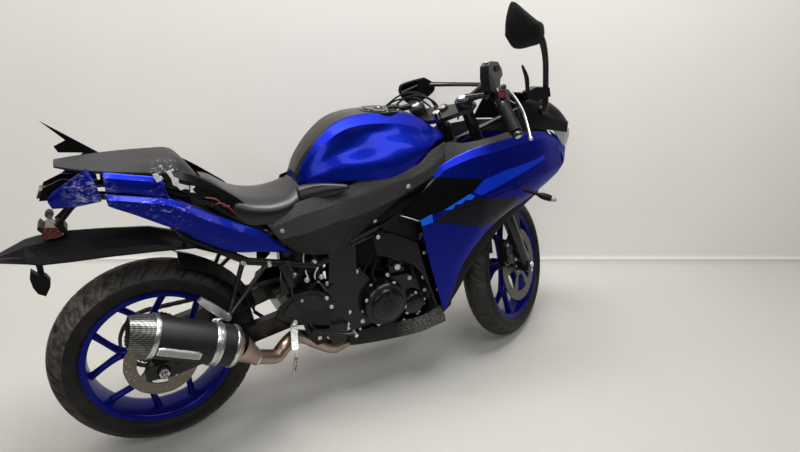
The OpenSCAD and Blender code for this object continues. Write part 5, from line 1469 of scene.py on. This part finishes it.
rear_pegs.build("pillion_pegs", smooth=30, bevel=1.2, node="pillion_footrests", slot="frame_black")

pedals = Kit("frame_black")
pedals.add(sweep([(470, -158, 330), (520, -164, 312), (566, -176, 296), (604, -184, 292)], [8, 6.5, 6, 7], 12,
        6))
pedals.add(turned([(0, -14), (7, -14), (7, 14), (0, 14)], (604, -184, 292), (0, 1, 0.1), 14), "alloy_silver")
pedals.add(turned([(0, 22), (9, 22), (10, 18), (10, 0)], (470, -148.2, 330), (0, -1, 0), 20))
pedals.add(sweep([(384, -160, 588), (396, -162, 545), (404, -162, 512)], [12, 13, 11], 20, 4))
pedals.add(sweep([(404, -162, 512), (410, -160, 470), (440, -158, 400), (466, -158, 342)], [4, 3.4, 3.4, 4], 10,
        5), "fork_black")
pedals.add(turned([(0, 14), (7, 14), (7, 0)], (396, -148.2, 540), (0, -1, 0), 16), "bolt_steel")
pedals.add(sweep([(470, 158, 330), (540, 168, 312), (610, 184, 300)], [8, 6, 6], 12, 6))
pedals.add(turned([(0, -14), (8, -14), (8, 14), (0, 14)], (610, 184, 300), (0, 1, 0.1), 14), "grip_rubber")
pedals.add(turned([(0, 22), (9, 22), (10, 18), (10, 0)], (470, 148.2, 330), (0, 1, 0), 20))
pedals.build("foot_controls", smooth=36, bevel=0.6, node="foot_levers", slot="engine_black")

# Reservoir, relays and hoses seen between the rear frame and the heel plate
inner = Kit()
inner.add(turned([(0, 30), (19, 30), (21, 27), (21, -22), (19, -26), (0, -26)], (448, -106, 600), (0.1, 0, 1),
        28), "matte_black")
inner.add(turned([(0, 36), (15, 36), (17, 33), (17, 30)], (448, -106, 600), (0.1, 0, 1), 28), "can_ring")
inner.add(box((470, -116, 520), (530, -84, 568)), "matte_black")
inner.add(box((392, -104, 556), (428, -70, 610)), "engine_black")
inner.add(turned([(0, 10), (14, 10), (16, 6), (16, -20)], (476, -108, 620), (0, -1, 0), 24), "alloy_silver")
for pts, r, mat in (
        ([(448, -108, 570), (452, -126, 540), (420, -138, 520), (400, -152, 560)], 5, "matte_black"),
        ([(520, -112, 640), (500, -124, 590), (512, -126, 540), (490, -122, 470), (430, -118, 440)], 5.5,
         "matte_black"),
        ([(540, -118, 600), (480, -126, 560), (430, -122, 500), (360, -118, 470), (250, -112, 440),
         (120, -108, 420), (60, -104, 410)], 4, "matte_black"),
        ([(500, -110, 650), (470, -122, 610), (462, -124, 560), (476, -120, 500)], 3, "bolt_steel"),
        ([(540, -120, 560), (506, -128, 536), (496, -124, 506), (510, -120, 480)], 3.4, "alloy_silver"),
        ([(400, -100, 620), (440, -116, 590), (460, -112, 540)], 3, "wire_red")):
    inner.add(sweep(pts, r, 10, 7), mat)
for at in ((500, -124, 560), (520, -124, 500), (470, -124, 500), (436, -112, 520), (540, -124, 470)):
    inner.bolt(at, (0, -1, 0.1), 6, 7)
inner.build("rear_services", smooth=36, bevel=0.8)

# ---------------------------------------------------------------- fork, clamps and bars (turned with the steering)
def leg(s, t):
    """Point of a fork leg, t along it from the wheel axle."""
    return Vector((WHEELBASE, s * FORK_HALF, FRONT_R)) + U * t


AXLE_T = (Vector((WHEELBASE, 0, FRONT_R)) - P0).dot(U)
LEG_TOP = 1090 - AXLE_T
forks = Kit("fork_black")
for s in (-1, 1):
    forks.add(turned([(0, 0), (20.4, 0), (20.4, LEG_TOP - 2), (18, LEG_TOP), (0, LEG_TOP)], leg(s, 0), U, 36))
    forks.add(turned([(0, -28), (18, -28), (24, -18), (24, 322), (22.4, 326), (20.6, 326)], leg(s, 0), U, 40))
    forks.add(turned([(23, 318), (25, 320), (25, 329), (23, 331), (20.6, 331)], leg(s, 0), U, 36),
            "grip_rubber")
    forks.add(turned([(0, LEG_TOP - 1), (16, LEG_TOP - 1), (16, LEG_TOP + 4), (12, LEG_TOP + 7),
            (0, LEG_TOP + 7)], leg(s, 0), U, 6), "alloy_silver")
    forks.add(turned([(0, -26), (24, -26), (27, -23), (27, 24), (0, 24)], (WHEELBASE, s * FORK_HALF, FRONT_R),
            (0, s, 0), 36))
    forks.bolt((1380, s * 120, 272), (0, s, 0), 5, 4)
forks.add(turned([(0, -130), (7, -130), (8, -128), (8, 128), (7, 130), (0, 130)], (WHEELBASE, 0, FRONT_R),
        (0, 1, 0), 20), "bolt_steel")
forks.add(turned([(0, 4), (9, 4), (13, 2), (14, 0)], (WHEELBASE, -124, FRONT_R), (0, -1, 0), 6), "bolt_steel")
for t in (94, 156):
    forks.add(turned([(0, -10), (9, -10), (10, 0), (9, 10), (0, 10)], leg(-1, t) - Vector((24, -6, 0)),
            (0, 1, 0), 18))
forks.build("fork", "steering", STEER, smooth=40, node="fork_legs", slot="fork_black")

front_cal = Kit("caliper_black")
CAL_X, CAL_Z = 1284, 378


def around(*points):
    """Outline given from the middle of the front caliper."""
    return [(CAL_X + x, CAL_Z + z) for x, z in points]


front_cal.add(prism(around((-44, -30), (-36, -40), (26, -58), (34, -50), (54, 12), (48, 24), (-12, 54),
        (-22, 48)), -88, -72.4))
front_cal.add(prism(around((-44, -30), (-36, -40), (-12, -46), (4, 44), (-12, 54), (-22, 48)), -72.4, -56.8))
front_cal.add(prism(around((-20, -20), (40, -26), (78, -8), (76, 30), (30, 34)), -88, -78))
for dx, dz in ((-14, -18), (4, 20)):
    front_cal.add(turned([(0, 4), (13, 4), (16, 0), (16, -3)], (CAL_X + dx, -88, CAL_Z + dz), (0, -1, 0), 24))
for dx, dz in ((44, -2), (30, -42), (-28, 34)):
    front_cal.bolt((CAL_X + dx, -88, CAL_Z + dz), (0, -1, 0), 5, 5)
front_cal.add(prism(around((-62, -26), (-58, -44), (-20, -52), (-8, 40), (-24, 58), (-50, 44)), -84, -60))
front_cal.add(sweep([(CAL_X - 30, -88, CAL_Z - 38), (CAL_X - 46, -90, CAL_Z - 10),
        (CAL_X - 36, -90, CAL_Z + 30)], [5, 6, 5], 12, 4), "fork_black")
front_cal.build("front_brake_caliper", "steering", STEER, smooth=34, bevel=1.4, node="front_caliper",
        slot="caliper_black")

rows = []
for t in (-1, -0.97, -0.86, -0.7, -0.45, -0.2, 0, 0.2, 0.45, 0.7, 0.86, 0.97, 1):
    row = []
    for k in range(49):
        a = 152 - 2.08 * k
        w = 66 - (max(0.0, 76 - a) * 1.4 if a < 76 else 0) - (max(0.0, a - 184) * 1.5)
        d = 34 * (w / 66) ** 2 * abs(t) ** 2.6
        r = 318 - d
        row.append((WHEELBASE + r * math.cos(math.radians(a)), w * t, FRONT_R + r * math.sin(math.radians(a))))
    rows.append(row)
me = grid_mesh("front_guard", np.array(rows))
mud = finish_piece(me, "front_guard", "matte_black", "steering", STEER, 40, "front_mudguard", "matte_black")
wall = mud.modifiers.new("wall", "SOLIDIFY")
wall.thickness = 3 * MM
wall.offset = 1.0
fender = Kit()
for s in (-1, 1):
    fender.add(prism([(1338, 350), (1420, 330), (1436, 470), (1400, 566), (1330, 590), (1310, 500)], s * 67,
            s * 70), "matte_black")
    for at in ((1352, 372), (1396, 366), (1380, 470)):
        fender.bolt((at[0], s * 70, at[1]), (0, s, 0), 5, 3)
fender.build("guard_sides", "steering", STEER, smooth=30, bevel=1.0)

BAR_R = [(1057, -96, 1000), (1100, -206, 1000), (1036, -288, 860)]
BAR_L = [(1057, 96, 1000), (1040, 150, 1002), (960, 345, 985)]
bars = Kit("fork_black")
for s in (-1, 1):
    bars.add(turned([(20.5, 1057), (28, 1057), (30, 1060), (30, 1083), (28, 1086), (20.5, 1086)],
            leg(s, -AXLE_T), U, 36))
bars.add(sweep(BAR_R, 11, 18, 8, sharp=(1,)))
bars.add(sweep(BAR_L, 11, 18, 8))
for s, p, q in ((-1, BAR_R[0], BAR_R[1]), (1, BAR_L[0], BAR_L[1])):
    bars.add(sweep([p, Vector(p).lerp(Vector(q), 0.34)], [15, 13], 16, 2))
g0, g1 = Vector(BAR_R[1]), Vector(BAR_R[2])
gd = (g1 - g0).normalized()
gl = (g1 - g0).length


def bar_end(tip, along):
    """Weight and screw at the end of a bar."""
    at = tuple(tip - along * 6)
    bars.add(turned([(0, 0), (15, 0), (17, 3), (17, 16), (14, 19), (0, 19)], at, along, 30))
    bars.add(turned([(0, 20), (7, 20), (8, 19), (12, 19), (13, 16)], at, along, 24), "alloy_silver")


# Right: brake cylinder, its banjo, reservoir, switch box and throttle drum
bars.add(turned([(0, -22), (17, -22), (19, -19), (19, 10), (17, 14), (0, 14)], g0 + gd * 4, gd, 28))
bars.add(sweep([(1098, -196, 1010), (1112, -190, 1030), (1122, -184, 1062), (1128, -180, 1084)],
        [15, 15, 14, 12], 18, 4))
bars.add(turned([(0, 3), (8, 3), (13, 2), (14, 0), (14, -8), (12, -10)], (1129, -179, 1088), (0.15, 0.15, 1),
        28), "can_ring")
bars.add(turned([(0, 9), (6, 9), (7, 6), (7, 2)], (1129, -179, 1088), (0.15, 0.15, 1), 6), "bolt_steel")
bars.add(prism([(1044, 1012), (1042, 1058), (1054, 1094), (1076, 1106), (1126, 1102), (1148, 1078),
        (1150, 1056), (1128, 1044), (1112, 1006), (1074, 996)], -212, -178))
bars.add(sweep([(1106, -114, 1002), (1100, -148, 1020), (1092, -180, 1036)], [17, 16, 18], 16, 4))
bars.add(box((1092, -216, 1070), (1122, -212, 1090)), "matte_black")
for x, z in ((1070, 1104), (1094, 1104), (1116, 1103)):
    bars.add(turned([(0, 3), (5, 3), (6, 0)], (x, -196, z - 1), (0.1, 0, 1), 12), "bolt_steel")
bars.add(sweep([(1092, -196, 1040), (1076, -190, 1010), (1074, -170, 990)], [16, 15, 12], 16, 4))
for t, r in ((20, 19), (38, 21), (54, 18)):
    bars.add(turned([(11, -9), (r - 2, -9), (r, -7), (r, 7), (r - 2, 9), (11, 9)], g0 + gd * t, gd, 24))
bars.add(box((1068, -250, 962), (1100, -212, 1004)))
bars.add(box((1064, -247, 982), (1069, -226, 1000)), "wire_red")
bars.add(box((1074, -248, 1003), (1094, -226, 1008)), "wire_red")
bars.add(turned([(0, 5), (5, 5), (6, 3), (6, 0)], (1062, -240, 964), (-1, 0, 0), 14), "can_ring")
bar_end(g1, gd)
bars.add(sweep([(1100, -206, 1004), (1136, -213, 1014), (1146, -212, 1016)], [12, 11, 10], 14, 3))
# Left: switch box, clutch perch
h0, h1 = Vector(BAR_L[1]), Vector(BAR_L[2])
hd = (h1 - h0).normalized()
for t, r in ((18, 19), (36, 22), (56, 21), (70, 18)):
    bars.add(turned([(11, -10), (r - 2, -10), (r, -8), (r, 8), (r - 2, 10), (11, 10)], h0 + hd * t, hd, 24))
bars.add(box((1002, 188, 1002), (1030, 222, 1022)))
bars.add(turned([(0, 4), (5, 4), (5, 0)], (1004, 205, 1012), (-1, 0, 0.2), 12), "wire_red")
bars.add(sweep([(1026, 188, 1000), (1050, 204, 1006)], [11, 10], 14, 2))
bar_end(h1, hd)
# Stem nut, clamp bolts, ignition barrel
bars.add(turned([(0, 1072), (13, 1072), (16, 1068), (16, 1056)], P0, U, 6), "alloy_silver")
bars.add(turned([(0, 1064), (20, 1064), (22, 1061), (22, 1030), (0, 1030)], P0 + Vector((42, 0, 20)), U, 28))
bars.add(turned([(0, 1066), (12, 1066), (13, 1064)], P0 + Vector((42, 0, 20)), U, 20), "can_ring")
for s in (-1, 1):
    at = P0 + U * 1057 + Vector((48, s * 122, 22))
    bars.bolt(at, U, 5.5, 5)
# Held cables and hoses, each fixed at both ends
for pts, r, mat in (
        ([(1086, -180, 1030), (1096, -150, 1026), (1108, -120, 1010), (1116, -80, 990), (1124, -60, 930)], 4.2,
         "matte_black"),
        ([(1080, -205, 986), (1086, -160, 1008), (1096, -110, 1012), (1106, -60, 990), (1112, -34, 940)], 3.6,
         "matte_black"),
        ([(1076, -214, 978), (1076, -168, 992), (1086, -120, 990), (1100, -60, 968), (1106, -36, 930)], 3.6,
         "matte_black"),
        ([(1034, 190, 1006), (1060, 150, 1034), (1084, 96, 1036), (1100, 44, 1000), (1110, 30, 940)], 4.0,
         "matte_black"),
        ([(1018, 205, 1020), (1050, 160, 1048), (1078, 110, 1050), (1100, 60, 1012), (1112, 38, 940)], 3.4,
         "matte_black"),
        ([(1026, 214, 1018), (1060, 180, 1034), (1090, 120, 1030), (1104, 70, 990), (1112, 50, 940)], 3.4,
         "matte_black")):
    bars.add(sweep(pts, r, 10, 8), mat)
bars.build("bars_and_controls", "steering", STEER, smooth=38, bevel=0.9, node="handlebars", slot="fork_black")

handles = Kit()
for a, d, start, stop in ((g0, gd, 0.30 * gl, gl - 7), (h0, hd, 0.42 * (h1 - h0).length, (h1 - h0).length - 7)):
    n = int((stop - start) / 4.2)
    prof = [(11.6, start), (25.5, start), (25.5, start + 5)]
    for k in range(n):
        t = start + 8 + k * 4.2
        if t > stop - 4:
            break
        prof += [(22.2, t), (22.2, t + 2.4), (21.2, t + 2.8), (21.2, t + 3.8)]
    prof += [(22.6, stop - 3), (22.6, stop), (11.6, stop)]
    handles.add(turned(prof, a, d, 36), "grip_rubber")
handles.build("hand_grips", "steering", STEER, smooth=30, node="grips", slot="grip_rubber")
levers = Kit("alloy_silver")
levers.add(sweep([(1140, -214, 1016), (1156, -236, 984), (1160, -262, 930), (1140, -282, 880),
        (1112, -300, 834)], [7, 6.4, 5.6, 5.2, 5.0], 14, 6, squash=0.7))
levers.add(turned([(0, -8), (5, -7), (8, -3), (8, 3), (5, 7), (0, 8)], (1111, -300.6, 832), (0, 0, 1), 18))
levers.add(sweep([(1048, 204, 1006), (1064, 222, 1004), (1052, 280, 993), (1010, 345, 982)], [7, 6.4, 5.6, 5.2],
        14, 6, squash=0.7))
levers.add(turned([(0, -8), (5, -7), (8, -3), (8, 3), (5, 7), (0, 8)], (1009, 346, 982), (0, 1, 0), 18))
levers.build("levers", "steering", STEER, smooth=50, node="hand_levers", slot="alloy_silver")

# ---------------------------------------------------------------- mirrors, lamps, indicators, plate holder
def mirror_head(outline, y0, y1, glass_side):
    """Rounded shell over an outline in the side plane, with a glass let into one face."""
    pts = spline([*outline, outline[0]], 6)[:-1]
    cx, cz = pts.mean(axis=0)
    rings = []
    back = y1 if glass_side < 0 else y0
    front = y0 if glass_side < 0 else y1
    for k, y in ((0.93, front), (1.0, front - glass_side * 3), (1.0, front - glass_side * 10),
            (0.86, front - glass_side * 18), (0.5, back + glass_side * 1.5), (0.0, back)):
        rings.append([(cx + (x - cx) * k, y, cz + (z - cz) * k) for x, z in pts])
    n = len(pts)
    verts = [p for r in rings for p in r]
    faces = [(i * n + j, i * n + (j + 1) % n, (i + 1) * n + (j + 1) % n,
            (i + 1) * n + j) for i in range(len(rings) - 1) for j in range(n)]
    faces.append(tuple(range(n)))
    plate = [(cx + (x - cx) * 0.90, cz + (z - cz) * 0.90) for x, z in pts]
    return (verts, faces), prism(plate, front + glass_side * 0.2, front + glass_side * 0.8)


arms = Kit("fork_black")
arms.add(sweep([(1404, -112.3, 950), (1404, -120, 952), (1404, -128, 972), (1400, -131, 1020),
        (1388, -140, 1072), (1372, -150, 1140), (1346, -162, 1196), (1322, -168, 1226)],
        [15, 15, 14, 13, 12.5, 12.5, 13.5, 14], 18, 6, squash=0.72))
arms.add(prism([(1300, 1036), (1340, 1050), (1400, 1044), (1408, 1012), (1352, 1000), (1310, 1010)], -150,
        -124))
arms.add(sweep([(1312, -138, 1036), (1304, -138, 1084), (1282, -138, 1126)], [7, 8, 4], 12, 4))
shell, face = mirror_head([(1186, 1228), (1186, 1278), (1198, 1324), (1214, 1331), (1256, 1306), (1304, 1276),
        (1338, 1256), (1340, 1206), (1290, 1190), (1226, 1187)], -186, -158, 1)
arms.add(shell, "matte_black")
arms.add(face, "mirror_glass")
arms.add(sweep([(1404, 112.3, 950), (1404, 122, 954), (1404, 128, 972), (1398, 136, 1002), (1378, 172, 1014),
        (1290, 330, 1004), (1214, 377, 1004)], [15, 15, 13, 11, 9.6, 10, 12], 18, 6, squash=0.72))
shell, face = mirror_head([(1069, 990), (1086, 1016), (1178, 1033), (1196, 1030), (1230, 1008), (1234, 974),
        (1170, 936), (1150, 932), (1114, 934), (1082, 964)], 370, 396, -1)
arms.add(shell, "matte_black")
arms.add(face, "mirror_glass")
for s in (-1, 1):
    arms.add(turned([(0, 12), (12, 12), (18, 6), (19, -2), (0, -2)], (1404, s * 116, 962), (0, 0, 1), 24))
arms.build("mirror_arms", smooth=46, node="mirrors", slot="matte_black")

blinkers = Kit("matte_black")
for s in (-1, 1):
    stem = [(1274, s * 198, 700), (1300, s * 220, 690), (1326, s * 242, 679)]
    blinkers.add(sweep(stem, [9, 6.5, 8], 16, 5))
    a, b = Vector((1318, s * 238, 682)), Vector((1364, s * 274, 666))
    d = (b - a).normalized()
    blinkers.add(turned([(0, -6), (8, -5), (11, 4), (12.5, 16), (12, 34), (11, 40)], a, d, 28))
    blinkers.add(turned([(11, 40), (11, 44), (8, 56), (3, 60.5), (0, 61)], a, d, 28), "lamp_clear")
blinkers.add(sweep([(-208, 21, 774), (-222, 150, 766)], [7, 6], 14, 2))
blinkers.add(turned([(0, -6), (8, -5), (11, 4), (12, 30), (11, 42)], (-220, 132, 767), (0, 1, -0.08), 24))
blinkers.add(turned([(11, 42), (10, 54), (5, 59), (0, 60)], (-220, 132, 767), (0, 1, -0.08), 24), "lamp_clear")
blinkers.build("turn_signals", smooth=44, node="indicators", slot="matte_black")

holder = Kit("matte_black")
for s in (-1, 1):
    holder.add(sweep([(-98, s * 40, 856), (-140, s * 38, 838), (-172, s * 32, 806), (-196, s * 30, 786)],
            [7, 6, 6, 7], 12, 5))
holder.add(prism([(-232, 786), (-220, 794), (-192, 789), (-181, 766), (-196, 760), (-230, 760)], -56, 16),
        "lamp_red")
holder.add(prism([(-240, 792), (-232, 800), (-226, 790), (-232, 780)], -58, 18))
holder.add(prism([(-196, 796), (-176, 790), (-170, 772), (-184, 768)], -50, 10))
holder.add(prism([(-264, 743), (-248, 745), (-250, 700), (-252, 640), (-266, 640), (-268, 700)], -20, -14))
holder.add(prism([(-262, 690), (-250, 694), (-251, 676), (-262, 676)], -22.5, -20), "can_ring")
holder.add(prism([(-284, 662), (-270, 646), (-250, 640), (-242, 622), (-246, 604), (-262, 578), (-280, 590),
        (-288, 612), (-290, 640)], -15, 9))
holder.add(sweep([(-256, -16, 700), (-262, -22, 672), (-268, -8, 650)], 2.4, 8, 5))
for at in ((-256, -20, 734), (-258, -20, 712)):
    holder.bolt(at, (0, -1, 0), 4, 3)
holder.build("plate_holder", smooth=34, bevel=2.0, node="plate_bracket", slot="matte_black")
light = Kit()
light.add(prism([(-218, 868), (-208, 888), (-160, 900), (-118, 892), (-150, 862)], -30, 30), "scraped_black")
light.add(prism([(-227, 868), (-217, 889), (-208, 889), (-218, 868)], -30, 30), "lamp_red")
light.add(prism([(-150, 861), (-118, 901), (-96, 887), (-96, 851)], -24, 24), "matte_black")
for s in (-1, 1):
    light.add(prism([(-222, 862), (-206, 896), (-160, 914), (-116, 906), (-150, 856)], s * 30, s * 35),
            "scraped_black")
light.build("rear_lamp", smooth=30, bevel=1.5, node="tail_lamp", slot="lamp_red")
